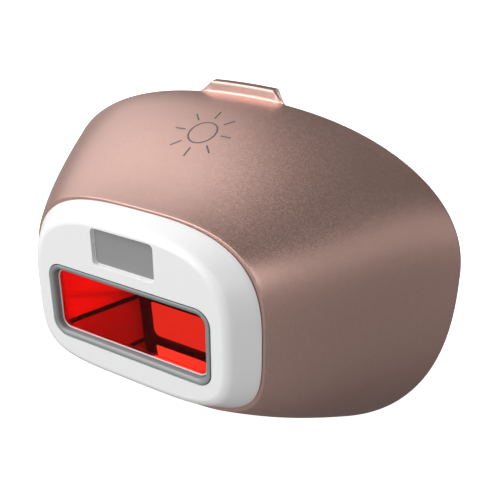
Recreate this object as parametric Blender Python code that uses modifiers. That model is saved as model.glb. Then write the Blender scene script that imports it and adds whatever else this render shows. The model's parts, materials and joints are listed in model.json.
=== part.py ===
"""Clip-on treatment head of an intense-pulsed-light hair remover.

The head is a flared, metallic-finish cap. Its small end carries a white bezel with a skin-contact
frame round a red filter glass, and a window for the skin sensor. Behind the glass a mirrored box
carries the light. Its large end is an open socket that snaps over the nose of a handset.

Every piece is built in the head's own frame: X is across, Z is up towards the pull tab, and depth
runs along +Y from the plane of the bezel's face. An empty then centres the head on the origin.
All sizes are in millimetres and are turned into metres as each mesh is made.
"""

import math

import bmesh
import bpy
from mathutils import Matrix, Vector

MM = 0.001
SEGMENTS = 64  # points round a large section, a multiple of four so that it meets both axes

# --- housing shell -------------------------------------------------------------------------
HEAD_DEPTH = 26.9  # bezel face to rear rim
SEAM_DEPTH = 3.5  # bezel face to the shell's front edge
REAR_HALF_WIDTH = 33.05
REAR_TOP = 22.55
REAR_BOTTOM = -27.4
REAR_CENTRE = 3.84
REAR_SQUARENESS = (2.23, 2.44)  # superellipse exponents, upper and lower half
SEAM_HALF_WIDTH = 17.9
SEAM_TOP = 14.2
SEAM_BOTTOM = -11.5
SEAM_CENTRE = 0.47
SEAM_SQUARENESS = (3.2, 3.9)
FLARE_SLOPES = {"side": (0.824, 0.785), "top": (0.263, 0.070), "bottom": (-0.710, -0.695)}
SHELL_WALL = 1.6  # measured across the section
SHELL_OUTER_RINGS = 12
SHELL_INNER_RINGS = 8

# --- pull tab on the shell's rear top edge --------------------------------------------------
TAB_BASE_HALF_WIDTH = 6.9
TAB_TOP_HALF_WIDTH = 5.0
TAB_HEIGHT = 1.3  # above the shell's rear top edge
TAB_THICKNESS = 1.6
TAB_OVERHANG = 1.3  # behind the rear rim
TAB_ROUNDING = 0.35

# --- clearances -----------------------------------------------------------------------------
GAP = 0.3
WIDE_GAP = 0.4
FINE_GAP = 0.15

# --- bezel ----------------------------------------------------------------------------------
FACE_HALF_WIDTH = 14.76
FACE_TOP = 12.63
FACE_BOTTOM = -8.70
FACE_CENTRE = 0.59
FACE_SQUARENESS = (3.24, 4.36)
FLANK_HALF_WIDTH = 17.72  # where the flank meets the shell
FLANK_TOP = 14.06
FLANK_BOTTOM = -10.99
FLANK_CENTRE = 0.21
FLANK_SQUARENESS = (3.06, 3.70)
FACE_ROUNDING = 0.7
FACE_PLATE = 2.0
SKIRT_INSET = SHELL_WALL + GAP
SKIRT_INNER_INSET = 2.8  # leaves room for the contact frame and the switches

# --- contact frame --------------------------------------------------------------------------
RIM_HALF_WIDTH = 12.5
RIM_HALF_HEIGHT = 5.15
RIM_WALL = 0.7
RIM_CORNER = 2.0
RIM_PROUD = 0.1
FRAME_TRAVEL = 0.8
FLANGE_LIP_X = 1.2  # how far the flange stands out past the rim
FLANGE_LIP_Z = 0.8
FLANGE_THICKNESS = 0.8
FLANGE_FRONT = FACE_PLATE + GAP
FLANGE_REAR = FLANGE_FRONT + FLANGE_THICKNESS

# --- filter glass and its gasket ------------------------------------------------------------
GLASS_RECESS = 0.85  # below the rim's front edge
GLASS_THICKNESS = 1.6
GLASS_HALF_WIDTH = RIM_HALF_WIDTH - RIM_WALL - GAP
GLASS_HALF_HEIGHT = RIM_HALF_HEIGHT - RIM_WALL - GAP
GLASS_FRONT = GLASS_RECESS - RIM_PROUD
GLASS_REAR = GLASS_FRONT + GLASS_THICKNESS
GASKET_THICKNESS = 0.5
GASKET_WIDTH = 0.35
GASKET_FRONT = GLASS_REAR + FINE_GAP
GASKET_REAR = GASKET_FRONT + GASKET_THICKNESS

# --- mirrored light box and its carrier -------------------------------------------------------
MIRROR_THICKNESS = 0.4
MIRROR_LENGTH = 8.2
MIRROR_FRONT = GASKET_REAR + WIDE_GAP
MIRROR_REAR = MIRROR_FRONT + MIRROR_LENGTH
BOX_HALF_HEIGHT = GLASS_HALF_HEIGHT - MIRROR_THICKNESS
BOX_FRONT_HALF_WIDTH = GLASS_HALF_WIDTH - MIRROR_THICKNESS
BOX_NARROWING = 3.5  # by how much each side draws in over the mirrors' length
CARRIER_WALL = 0.95
CARRIER_FRONT = FLANGE_REAR + FRAME_TRAVEL + WIDE_GAP
CARRIER_END = 0.8  # thickness of the dark frame at the far end
CARRIER_REAR = MIRROR_REAR + GAP + CARRIER_END
APERTURE_RIM_X = 1.2  # how far that frame stands in past the mirrors
APERTURE_RIM_Z = 0.6
APERTURE_HALF_WIDTH = BOX_FRONT_HALF_WIDTH - BOX_NARROWING - APERTURE_RIM_X
APERTURE_HALF_HEIGHT = BOX_HALF_HEIGHT - APERTURE_RIM_Z
APERTURE_CORNER = 1.0
APERTURE_FLARE = 2.0  # how much wider the coupling plate's aperture is on each side

# --- return springs -------------------------------------------------------------------------
SPRING_RADIUS = 0.8
SPRING_WIRE = 0.15
SPRING_TURNS = 4
SPRING_EAR = 1.2
SPRING_X = RIM_HALF_WIDTH - 3.0
SPRING_Z = RIM_HALF_HEIGHT + SPRING_EAR + 0.25
PEG_RADIUS = 0.4
PEG_LENGTH = 2.0

# --- skin sensor ----------------------------------------------------------------------------
SENSOR_HALF_WIDTH = 4.75
SENSOR_HALF_HEIGHT = 2.5
SENSOR_HEIGHT = RIM_HALF_HEIGHT + 4.15  # centre of the window above the optical axis
SENSOR_CORNER = 0.5
SENSOR_RECESS = 0.5
SENSOR_LIP = 1.25  # how far the plate's flange stands out on each side
SENSOR_FLANGE_THICKNESS = 0.9
SENSOR_REAR = FACE_PLATE + GAP + SENSOR_FLANGE_THICKNESS
SENSOR_GASKET_WALL = 0.8
SENSOR_GASKET_DEPTH = 1.8
CHIP_HEIGHT = 0.9
DIODE_SIZE = 2.0
LED_SIZE = 1.6
LED_SPACING = 3.0

# --- front board and its two switches --------------------------------------------------------
BOARD_THICKNESS = 0.8
BOARD_FRONT = SENSOR_REAR + GAP + SENSOR_GASKET_DEPTH + GAP
BOARD_REAR = BOARD_FRONT + BOARD_THICKNESS
BOARD_INSET = SKIRT_INNER_INSET + WIDE_GAP
BOARD_BOTTOM = -4.6
SWITCH_X = RIM_HALF_WIDTH + 1.6
SWITCH_HALF_WIDTH = 1.3
SWITCH_HALF_HEIGHT = 1.9
SWITCH_DEPTH = 1.2
PLUNGER_RADIUS = 0.6

# --- chassis and coupling plate ---------------------------------------------------------------
CHASSIS_THICKNESS = 1.5
CHASSIS_FRONT = BOARD_REAR + 0.8
CHASSIS_REAR = CHASSIS_FRONT + CHASSIS_THICKNESS
SKIRT_END = CHASSIS_FRONT - 0.7
INNER_INSET = SHELL_WALL + WIDE_GAP  # of the pieces that fit into the shell
PLATE_THICKNESS = 1.8
PLATE_FRONT = CARRIER_REAR + WIDE_GAP
PLATE_REAR = PLATE_FRONT + PLATE_THICKNESS

# --- screws and their posts -------------------------------------------------------------------
POST_RADIUS = 2.2
POST_X = 14.0
POST_UPPER_Z = 8.0
POST_LOWER_Z = -8.2
POST_PLACES = (
    (-POST_X, POST_UPPER_Z), (POST_X, POST_UPPER_Z), (-POST_X, POST_LOWER_Z), (POST_X, POST_LOWER_Z)
)
SCREW_RADIUS = 0.9
SCREW_LENGTH = 5.0
SCREW_HEAD_RADIUS = 1.7
SCREW_HEAD_HEIGHT = 1.1
SCREW_SOCKET_RADIUS = 0.85
SCREW_SOCKET_DEPTH = 0.6
FLUSH_SETBACK = 0.1  # of what lies level with the plate's rear face

# --- contacts --------------------------------------------------------------------------------
CONTACT_HALF_WIDTH = 8.0
CONTACT_HALF_HEIGHT = 1.8
CONTACT_HEIGHT = 11.2
CONTACT_BLOCK_DEPTH = 3.0
CONTACT_REAR = PLATE_REAR - GAP
CONTACT_FRONT = CONTACT_REAR - CONTACT_BLOCK_DEPTH
PAD_COUNT = 6
PAD_PITCH = 2.5
PAD_HALF_WIDTH = 0.7
PAD_HALF_HEIGHT = 1.1
PAD_THICKNESS = 0.35
CHIP_HALF_WIDTH = 1.5
CHIP_HALF_HEIGHT = 1.2
CHIP_X = 5.0
RIBBON_WIDTH = 5.0
RIBBON_THICKNESS = 0.2
RIBBON_RAMP = 1.6

# --- seal round the rear aperture --------------------------------------------------------------
SEAL_WIDTH = 1.0
SEAL_DEPTH = 0.8

# --- snap latches ------------------------------------------------------------------------------
LATCH_MARGIN = 2.5  # from the plate's edge to the middle of a latch
LATCH_THICKNESS = 1.2
LATCH_HALF_HEIGHT = 3.5
LATCH_SETBACK = 1.7  # from the rear rim to a latch's tip
LATCH_HOOK = 1.0
LATCH_HOOK_LENGTH = 2.1
LATCH_SLOT_GAP = 0.6
LATCH_FOOT_HALF_WIDTH = 1.6
LATCH_FOOT_THICKNESS = 0.8

MATERIALS = {
    "rose_gold": ((0.53, 0.38, 0.34), 0.38, 0.75),
    "white_plastic": ((0.86, 0.86, 0.86), 0.30, 0.0),
    "satin_metal": ((0.33, 0.35, 0.35), 0.35, 0.9),
    "red_glass": ((0.60, 0.02, 0.01), 0.05, 0.0),
    "mirror": ((0.85, 0.85, 0.86), 0.06, 1.0),
    "sensor_window": ((0.30, 0.30, 0.30), 0.12, 0.0),
    "black_plastic": ((0.02, 0.02, 0.022), 0.45, 0.0),
    "grey_plastic": ((0.16, 0.16, 0.17), 0.50, 0.0),
    "silicone": ((0.05, 0.05, 0.05), 0.70, 0.0),
    "board": ((0.02, 0.12, 0.05), 0.45, 0.0),
    "polyimide": ((0.55, 0.25, 0.04), 0.35, 0.0),
    "gold": ((0.80, 0.58, 0.22), 0.22, 1.0),
    "steel": ((0.55, 0.55, 0.56), 0.30, 1.0),
    "led": ((0.80, 0.75, 0.45), 0.20, 0.0),
}


def clear_scene():
    for obj in list(bpy.data.objects):
        bpy.data.objects.remove(obj, do_unlink=True)


def new_collection(name):
    collection = bpy.data.collections.new(name)
    bpy.context.scene.collection.children.link(collection)
    return collection


def make_materials():
    made = {}
    for name, (colour, roughness, metallic) in MATERIALS.items():
        material = bpy.data.materials.new(name)
        material.use_nodes = True
        shader = material.node_tree.nodes["Principled BSDF"]
        shader.inputs["Base Color"].default_value = (*colour, 1.0)
        shader.inputs["Roughness"].default_value = roughness
        shader.inputs["Metallic"].default_value = metallic
        made[name] = material
    return made


clear_scene()
PARTS = new_collection("ipl_treatment_head")
CUTTERS = new_collection("cutters")
LOOKS = make_materials()
HEAD = bpy.data.objects.new("head_frame", None)
PARTS.objects.link(HEAD)


def add_object(name, bm, look, origin=(0.0, 0.0, 0.0)):
    """A piece from a bmesh in millimetres, with its origin at the given place in the head's frame."""
    offset = Vector(origin)
    bmesh.ops.translate(bm, vec=-offset, verts=bm.verts)
    bmesh.ops.scale(bm, vec=(MM, MM, MM), verts=bm.verts)
    bmesh.ops.recalc_face_normals(bm, faces=bm.faces)
    mesh = bpy.data.meshes.new(name)
    bm.to_mesh(mesh)
    bm.free()
    mesh.shade_smooth()
    mesh.set_sharp_from_angle(angle=math.radians(35))
    obj = bpy.data.objects.new(name, mesh)
    obj.location = offset * MM
    if look is None:
        CUTTERS.objects.link(obj)
        obj.hide_render = True
        obj.display_type = "WIRE"
    else:
        PARTS.objects.link(obj)
        mesh.materials.append(LOOKS[look])
    obj.parent = HEAD
    return obj


def boolean(target, tool, operation="DIFFERENCE"):
    modifier = target.modifiers.new(tool.name, "BOOLEAN")
    modifier.operation = operation
    modifier.solver = "EXACT"
    modifier.object = tool


def box_mesh(centre, half):
    bm = bmesh.new()
    bmesh.ops.create_cube(bm, size=2.0)
    bmesh.ops.scale(bm, vec=half, verts=bm.verts)
    bmesh.ops.translate(bm, vec=centre, verts=bm.verts)
    return bm


def depth_box(half, depths, centre=(0.0, 0.0), corner=0.0, corner_steps=4):
    """A box by half width and half height between two depths, its edges along the depth rounded."""
    near, far = depths
    middle = (centre[0], (near + far) / 2, centre[1])
    bm = box_mesh(middle, (half[0], (far - near) / 2, half[1]))
    if corner:
        along_depth = [e for e in bm.edges if abs((e.verts[0].co - e.verts[1].co).y) > 1e-6]
        bmesh.ops.bevel(
            bm, geom=along_depth, offset=corner, segments=corner_steps, profile=0.5, affect="EDGES"
        )
    return bm


def cylinder(radius, depths, centre, segments=24):
    """A cylinder along the depth."""
    near, far = depths
    bm = bmesh.new()
    bmesh.ops.create_cone(
        bm,
        cap_ends=True,
        segments=segments,
        radius1=radius,
        radius2=radius,
        depth=far - near,
        matrix=Matrix.Rotation(math.radians(90), 4, "X"),
    )
    bmesh.ops.translate(bm, vec=(centre[0], (near + far) / 2, centre[1]), verts=bm.verts)
    return bm


def hermite(t, start, end, start_slope, end_slope):
    """A cubic from start to end with the given slopes per unit of t."""
    return (
        start * (2 * t**3 - 3 * t**2 + 1)
        + start_slope * (t**3 - 2 * t**2 + t)
        + end * (3 * t**2 - 2 * t**3)
        + end_slope * (t**3 - t**2)
    )


def around(depths):
    """The depths of a cut that runs right through what lies between two depths."""
    return (depths[0] - 1.0, depths[1] + 1.0)


def ring(depth, half_width, top, bottom, centre, squareness, inset=0.0):
    """Points round a section whose halves are superellipses, evenly spread, anticlockwise from +X."""
    points = []
    for step in range(SEGMENTS):
        angle = 2 * math.pi * step / SEGMENTS
        cosine, sine = math.cos(angle), math.sin(angle)
        upper = sine >= 0
        power = 2.0 / (squareness[0] if upper else squareness[1])
        reach = (top - centre if upper else centre - bottom) - inset
        x = (half_width - inset) * math.copysign(abs(cosine) ** power, cosine)
        z = centre + reach * math.copysign(abs(sine) ** power, sine)
        points.append((x, depth, z))
    return points


def flare(depth, start, end, slopes):
    """One measure of the housing's section at a depth, between its front edge and its rear rim."""
    run = HEAD_DEPTH - SEAM_DEPTH
    t = (depth - SEAM_DEPTH) / run
    return hermite(t, start, end, slopes[0] * run, slopes[1] * run)


def shell_half_width(depth):
    return flare(depth, SEAM_HALF_WIDTH, REAR_HALF_WIDTH, FLARE_SLOPES["side"])


def shell_section(depth, inset=0.0, at=None):
    """The housing's outer section at a depth, drawn in by an inset, placed elsewhere if asked."""
    t = (depth - SEAM_DEPTH) / (HEAD_DEPTH - SEAM_DEPTH)

    def blend(start, end):
        return start + (end - start) * t

    return ring(
        depth if at is None else at,
        shell_half_width(depth),
        flare(depth, SEAM_TOP, REAR_TOP, FLARE_SLOPES["top"]),
        flare(depth, SEAM_BOTTOM, REAR_BOTTOM, FLARE_SLOPES["bottom"]),
        blend(SEAM_CENTRE, REAR_CENTRE),
        tuple(blend(a, b) for a, b in zip(SEAM_SQUARENESS, REAR_SQUARENESS)),
        inset,
    )


def flank_section(share, depth, inset=0.0):
    """The bezel's outer section, from its face outline at share 0 to its meeting with the shell at 1."""

    def blend(start, end):
        return start + (end - start) * share

    return ring(
        depth,
        blend(FACE_HALF_WIDTH, FLANK_HALF_WIDTH),
        blend(FACE_TOP, FLANK_TOP),
        blend(FACE_BOTTOM, FLANK_BOTTOM),
        blend(FACE_CENTRE, FLANK_CENTRE),
        tuple(blend(a, b) for a, b in zip(FACE_SQUARENESS, FLANK_SQUARENESS)),
        inset,
    )


def loft(rings, closed=False):
    """Joins rings with equal numbers of points. The ends are capped, or joined to each other if closed."""
    bm = bmesh.new()
    loops = [[bm.verts.new(point) for point in points] for points in rings]
    pairs = list(zip(loops, loops[1:]))
    if closed:
        pairs.append((loops[-1], loops[0]))
    for near, far in pairs:
        for i in range(len(near)):
            j = (i + 1) % len(near)
            bm.faces.new((near[i], near[j], far[j], far[i]))
    if not closed:
        bm.faces.new(loops[0])
        bm.faces.new(reversed(loops[-1]))
    return bm


def spread(start, end, count):
    return [start + (end - start) * i / (count - 1) for i in range(count)]


def curve_piece(name, points, thickness, look):
    """A round wire through the given points, as a mesh."""
    curve = bpy.data.curves.new(name + "_path", "CURVE")
    curve.dimensions = "3D"
    curve.bevel_depth = thickness * MM
    curve.bevel_resolution = 2
    curve.use_fill_caps = True
    spline = curve.splines.new("POLY")
    spline.points.add(len(points) - 1)
    for knot, point in zip(spline.points, points):
        knot.co = (*(Vector(point) * MM), 1.0)
    guide = bpy.data.objects.new(name + "_path", curve)
    PARTS.objects.link(guide)
    guide.parent = HEAD
    evaluated = guide.evaluated_get(bpy.context.evaluated_depsgraph_get())
    mesh = bpy.data.meshes.new_from_object(evaluated)
    bm = bmesh.new()
    bm.from_mesh(mesh)
    bmesh.ops.remove_doubles(bm, verts=bm.verts, dist=1e-6)
    bm.to_mesh(mesh)
    bm.free()
    mesh.shade_smooth()
    mesh.materials.clear()
    mesh.materials.append(LOOKS[look])
    obj = bpy.data.objects.new(name, mesh)
    obj.matrix_world = guide.matrix_world
    PARTS.objects.link(obj)
    obj.parent = HEAD
    bpy.data.objects.remove(guide, do_unlink=True)
    return obj


def make_shell():
    depths = spread(SEAM_DEPTH, HEAD_DEPTH, SHELL_OUTER_RINGS)
    inner_depths = spread(HEAD_DEPTH, SEAM_DEPTH, SHELL_INNER_RINGS)
    rings = [shell_section(depth) for depth in depths]
    rings += [shell_section(depth, SHELL_WALL) for depth in inner_depths]
    shell = add_object("housing_shell", loft(rings, closed=True), "rose_gold")
    tab = add_object("pull_tab_form", tab_form(), None)
    boolean(shell, tab, "UNION")


def tab_form():
    """A low block with sloped ends that stands up from the rear edge."""
    root = REAR_TOP - SHELL_WALL + WIDE_GAP
    top = REAR_TOP + TAB_HEIGHT
    rear = HEAD_DEPTH + TAB_OVERHANG
    bm = depth_box(
        (TAB_BASE_HALF_WIDTH, (top - root) / 2), (rear - TAB_THICKNESS, rear), (0.0, (top + root) / 2)
    )
    for vertex in bm.verts:
        if vertex.co.z > REAR_TOP:
            vertex.co.x *= TAB_TOP_HALF_WIDTH / TAB_BASE_HALF_WIDTH
            if vertex.co.y < rear - TAB_THICKNESS / 2:
                vertex.co.y += TAB_ROUNDING
    upper = [e for e in bm.edges if min(v.co.z for v in e.verts) > REAR_TOP]
    bmesh.ops.bevel(
        bm, geom=upper, offset=TAB_ROUNDING, segments=3, profile=0.5, affect="EDGES"
    )
    return bm


def make_bezel():
    """A cup in one piece: face, rounded edge, flank, and a skirt that fits into the shell."""
    step = SEAM_DEPTH - GAP
    rings = [flank_section(0.0, 0.0, FACE_ROUNDING)]
    for turn in (0.3, 0.6, 1.0):
        angle = turn * math.pi / 2
        inset = FACE_ROUNDING * (1 - math.sin(angle))
        depth = FACE_ROUNDING * (1 - math.cos(angle))
        rings.append(flank_section(depth / SEAM_DEPTH, depth, inset))
    rings += [
        flank_section(step / SEAM_DEPTH, step),
        shell_section(SEAM_DEPTH, SKIRT_INSET, at=step),
        shell_section(SEAM_DEPTH, SKIRT_INSET),
        shell_section(SKIRT_END, SKIRT_INSET),
        shell_section(SKIRT_END, SKIRT_INNER_INSET),
        shell_section(SEAM_DEPTH, SKIRT_INNER_INSET),
        shell_section(SEAM_DEPTH, SKIRT_INNER_INSET, at=FACE_PLATE),
    ]
    bezel = add_object("front_bezel", loft(rings), "white_plastic")
    through = around((0.0, FACE_PLATE))
    window = depth_box(
        (RIM_HALF_WIDTH + GAP, RIM_HALF_HEIGHT + GAP), through, corner=RIM_CORNER + GAP, corner_steps=6
    )
    sensor = depth_box(
        (SENSOR_HALF_WIDTH, SENSOR_HALF_HEIGHT), through, (0.0, SENSOR_HEIGHT), SENSOR_CORNER
    )
    pocket = depth_box(
        (SENSOR_HALF_WIDTH + SENSOR_LIP + 1.0, SENSOR_HALF_HEIGHT + WIDE_GAP),
        (FACE_PLATE, SKIRT_END + 1.0),
        (0.0, SENSOR_HEIGHT),
    )
    boolean(bezel, add_object("window_cut", window, None))
    boolean(bezel, add_object("sensor_cut", sensor, None))
    boolean(bezel, add_object("sensor_pocket_cut", pocket, None))


def spring_places():
    return [(side * SPRING_X, rise * SPRING_Z) for rise in (1, -1) for side in (-1, 1)]


def make_contact_frame():
    """The skin-contact rim, with the flange that keeps it in the bezel and an ear over each spring."""
    flange = (FLANGE_FRONT, FLANGE_REAR)
    rim_half = (RIM_HALF_WIDTH, RIM_HALF_HEIGHT)
    rim = depth_box(rim_half, (-RIM_PROUD, FLANGE_REAR), corner=RIM_CORNER, corner_steps=6)
    frame = add_object("contact_frame", rim, "satin_metal")
    plate_half = (RIM_HALF_WIDTH + FLANGE_LIP_X, RIM_HALF_HEIGHT + FLANGE_LIP_Z)
    plate = depth_box(plate_half, flange, corner=RIM_CORNER, corner_steps=6)
    boolean(frame, add_object("flange_form", plate, None), "UNION")
    for place in spring_places():
        ear = cylinder(SPRING_EAR, flange, place, segments=16)
        boolean(frame, add_object("ear_form", ear, None), "UNION")
    toe_half = ((SWITCH_X + PLUNGER_RADIUS - RIM_HALF_WIDTH) / 2, SWITCH_HALF_HEIGHT)
    for side in (-1, 1):
        middle = side * (RIM_HALF_WIDTH + toe_half[0])
        toe = depth_box(toe_half, flange, (middle, 0.0), corner=0.4, corner_steps=2)
        boolean(frame, add_object("toe_form", toe, None), "UNION")
    opening = depth_box(
        (RIM_HALF_WIDTH - RIM_WALL, RIM_HALF_HEIGHT - RIM_WALL),
        around((-RIM_PROUD, FLANGE_REAR)),
        corner=RIM_CORNER - RIM_WALL,
        corner_steps=6,
    )
    boolean(frame, add_object("opening_cut", opening, None))


def make_glass():
    half = (GLASS_HALF_WIDTH, GLASS_HALF_HEIGHT)
    corner = RIM_CORNER - RIM_WALL - GAP
    glass = depth_box(half, (GLASS_FRONT, GLASS_REAR), corner=corner)
    add_object("filter_glass", glass, "red_glass")
    seat = (GASKET_FRONT, GASKET_REAR)
    gasket = add_object("glass_gasket", depth_box(half, seat, corner=corner), "silicone")
    inner = (GLASS_HALF_WIDTH - GASKET_WIDTH, GLASS_HALF_HEIGHT - GASKET_WIDTH)
    boolean(gasket, add_object("gasket_cut", depth_box(inner, around(seat), corner=corner / 2), None))


def box_half_width(depth, extra=0.0):
    """The light box's inner half width at a depth, plus what lies outside it."""
    return BOX_FRONT_HALF_WIDTH - BOX_NARROWING * (depth - MIRROR_FRONT) / MIRROR_LENGTH + extra


def tapered_box(depths, extra_width, half_height, height=0.0):
    """A box that narrows with depth as the light box does."""
    near, far = (box_half_width(depth, extra_width) for depth in depths)
    bm = depth_box((near, half_height), depths, (0.0, height))
    for vertex in bm.verts:
        if vertex.co.y > sum(depths) / 2:
            vertex.co.x *= far / near
    return bm


def side_mirror(side, depths):
    """An upright plate that leans in with depth."""
    bm = depth_box(
        (MIRROR_THICKNESS / 2, BOX_HALF_HEIGHT - FINE_GAP),
        depths,
        (side * (BOX_FRONT_HALF_WIDTH + MIRROR_THICKNESS / 2), 0.0),
    )
    for vertex in bm.verts:
        if vertex.co.y > sum(depths) / 2:
            vertex.co.x -= side * BOX_NARROWING
    return bm


def make_light_box():
    depths = (MIRROR_FRONT, MIRROR_REAR)
    for name, side in (("mirror_left", -1), ("mirror_right", 1)):
        add_object(name, side_mirror(side, depths), "mirror")
    for name, side in (("mirror_top", 1), ("mirror_bottom", -1)):
        height = side * (BOX_HALF_HEIGHT + MIRROR_THICKNESS / 2)
        plate = tapered_box(depths, MIRROR_THICKNESS, MIRROR_THICKNESS / 2, height)
        add_object(name, plate, "mirror")
    inner_extra = MIRROR_THICKNESS + GAP
    inner_height = BOX_HALF_HEIGHT + inner_extra
    body = tapered_box(
        (CARRIER_FRONT, CARRIER_REAR), inner_extra + CARRIER_WALL, inner_height + CARRIER_WALL
    )
    carrier = add_object("mirror_carrier", body, "black_plastic")
    cavity = tapered_box((CARRIER_FRONT - 1.0, MIRROR_REAR + GAP), inner_extra, inner_height)
    boolean(carrier, add_object("light_box_cut", cavity, None))
    boolean(carrier, add_object("aperture_cut", aperture_form((MIRROR_REAR, CARRIER_REAR)), None))


def aperture_form(depths, wider=0.0):
    half = (APERTURE_HALF_WIDTH + wider, APERTURE_HALF_HEIGHT + wider)
    return depth_box(half, around(depths), corner=APERTURE_CORNER + wider / 2)


def coil(centre, depths):
    """Points along a spring whose wire stays between two depths."""
    near, far = depths
    steps = SPRING_TURNS * 10
    points = []
    for i in range(steps + 1):
        angle = 2 * math.pi * SPRING_TURNS * i / steps
        x = centre[0] + SPRING_RADIUS * math.cos(angle)
        z = centre[1] + SPRING_RADIUS * math.sin(angle)
        points.append((x, near + (far - near) * i / steps, z))
    return points


def make_springs():
    end_room = SPRING_WIRE + FINE_GAP
    for number, place in enumerate(spring_places(), start=1):
        points = coil(place, (FLANGE_REAR + end_room, CHASSIS_FRONT - end_room))
        curve_piece(f"return_spring_{number}", points, SPRING_WIRE, "steel")


def make_sensor():
    boss_half = (SENSOR_HALF_WIDTH - GAP, SENSOR_HALF_HEIGHT - GAP)
    flange_half = (SENSOR_HALF_WIDTH + SENSOR_LIP, boss_half[1])
    place = (0.0, SENSOR_HEIGHT)
    boss = depth_box(boss_half, (SENSOR_RECESS, SENSOR_REAR), place, SENSOR_CORNER - FINE_GAP)
    window = add_object("sensor_window", boss, "sensor_window")
    flange = depth_box(flange_half, (FACE_PLATE + GAP, SENSOR_REAR), place)
    boolean(window, add_object("sensor_flange_form", flange, None), "UNION")
    depths = (SENSOR_REAR + GAP, BOARD_FRONT - GAP)
    gasket = add_object("sensor_gasket", depth_box(flange_half, depths, place), "silicone")
    inner_half = tuple(half - SENSOR_GASKET_WALL for half in flange_half)
    hole = depth_box(inner_half, around(depths), place)
    boolean(gasket, add_object("sensor_gasket_cut", hole, None))
    chip_rear = BOARD_FRONT - FINE_GAP
    chip_depths = (chip_rear - CHIP_HEIGHT, chip_rear)
    diode = depth_box((DIODE_SIZE / 2, DIODE_SIZE / 2), chip_depths, place)
    add_object("sensor_photodiode", diode, "black_plastic")
    for name, side in (("sensor_led_left", -1), ("sensor_led_right", 1)):
        led_place = (side * LED_SPACING, SENSOR_HEIGHT)
        led = depth_box((LED_SIZE / 2, LED_SIZE / 2), chip_depths, led_place, corner=0.3)
        add_object(name, led, "led")


def plate_of_shell(depths, inset):
    """A flat plate with the housing's outline at the nearer depth, drawn in by an inset."""
    return loft([shell_section(depths[0], inset, at=depth) for depth in depths])


def carrier_opening(depth):
    """Half width and half height of a hole that lets the mirror carrier through at a depth."""
    wall = MIRROR_THICKNESS + GAP + CARRIER_WALL + GAP
    return (box_half_width(depth, wall), BOX_HALF_HEIGHT + wall)


def make_front_board():
    """A board shaped like an arch: the sensor is on its crown, a switch on each leg."""
    depths = (BOARD_FRONT, BOARD_REAR)
    board = add_object("front_board", plate_of_shell(depths, BOARD_INSET), "board")
    window = depth_box(carrier_opening(BOARD_FRONT), around(depths))
    boolean(board, add_object("board_window_cut", window, None))
    below = depth_box(
        (REAR_HALF_WIDTH, -REAR_BOTTOM / 2), around(depths), (0.0, BOARD_BOTTOM + REAR_BOTTOM / 2)
    )
    boolean(board, add_object("board_foot_cut", below, None))
    for place in spring_places()[:2]:
        hole = cylinder(SPRING_RADIUS + SPRING_WIRE + WIDE_GAP, around(depths), place)
        boolean(board, add_object("spring_hole_cut", hole, None))


def make_switches():
    rear = BOARD_FRONT - FINE_GAP
    front = rear - SWITCH_DEPTH
    for name, side in (("left", -1), ("right", 1)):
        place = (side * SWITCH_X, 0.0)
        case = depth_box((SWITCH_HALF_WIDTH, SWITCH_HALF_HEIGHT), (front, rear), place)
        body = add_object(f"switch_body_{name}", case, "black_plastic")
        well = cylinder(PLUNGER_RADIUS + FINE_GAP, (front - 1.0, rear - FINE_GAP), place)
        boolean(body, add_object("switch_well_cut", well, None))
        tip = cylinder(PLUNGER_RADIUS, (FLANGE_REAR + FINE_GAP, front + FINE_GAP), place)
        add_object(f"switch_plunger_{name}", tip, "steel", origin=(place[0], front, 0.0))


def make_chassis():
    """The inner frame: a plate across the shell with the spring pegs and the screw posts."""
    depths = (CHASSIS_FRONT, CHASSIS_REAR)
    overlap = CHASSIS_THICKNESS / 3
    chassis = add_object("front_chassis", plate_of_shell(depths, INNER_INSET), "grey_plastic")
    for place in POST_PLACES:
        post = cylinder(POST_RADIUS, (CHASSIS_REAR - overlap, PLATE_FRONT - GAP), place)
        boolean(chassis, add_object("post_form", post, None), "UNION")
    for place in spring_places():
        peg_depths = (CHASSIS_FRONT - PEG_LENGTH, CHASSIS_FRONT + overlap)
        peg = cylinder(PEG_RADIUS, peg_depths, place, segments=12)
        boolean(chassis, add_object("peg_form", peg, None), "UNION")
    opening = depth_box(carrier_opening(CHASSIS_FRONT), around(depths))
    boolean(chassis, add_object("carrier_opening_cut", opening, None))
    slot_half = (RIBBON_WIDTH / 2 + GAP, RIBBON_THICKNESS / 2 + GAP)
    slot = depth_box(slot_half, around(depths), (0.0, SENSOR_HEIGHT))
    boolean(chassis, add_object("ribbon_slot_cut", slot, None))
    pilot_front = PLATE_REAR - SCREW_HEAD_HEIGHT - SCREW_LENGTH - 1.0
    for place in POST_PLACES:
        hole = cylinder(SCREW_RADIUS + FINE_GAP, (pilot_front, PLATE_FRONT), place, segments=16)
        boolean(chassis, add_object("pilot_cut", hole, None))


def latch_x():
    """How far from the middle a latch stands, so that the plate and the shell both clear it."""
    foot_front = PLATE_FRONT - WIDE_GAP - LATCH_FOOT_THICKNESS
    in_plate = shell_half_width(PLATE_FRONT) - INNER_INSET - LATCH_MARGIN
    in_shell = shell_half_width(foot_front) - INNER_INSET - LATCH_FOOT_HALF_WIDTH
    return min(in_plate, in_shell)


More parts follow.
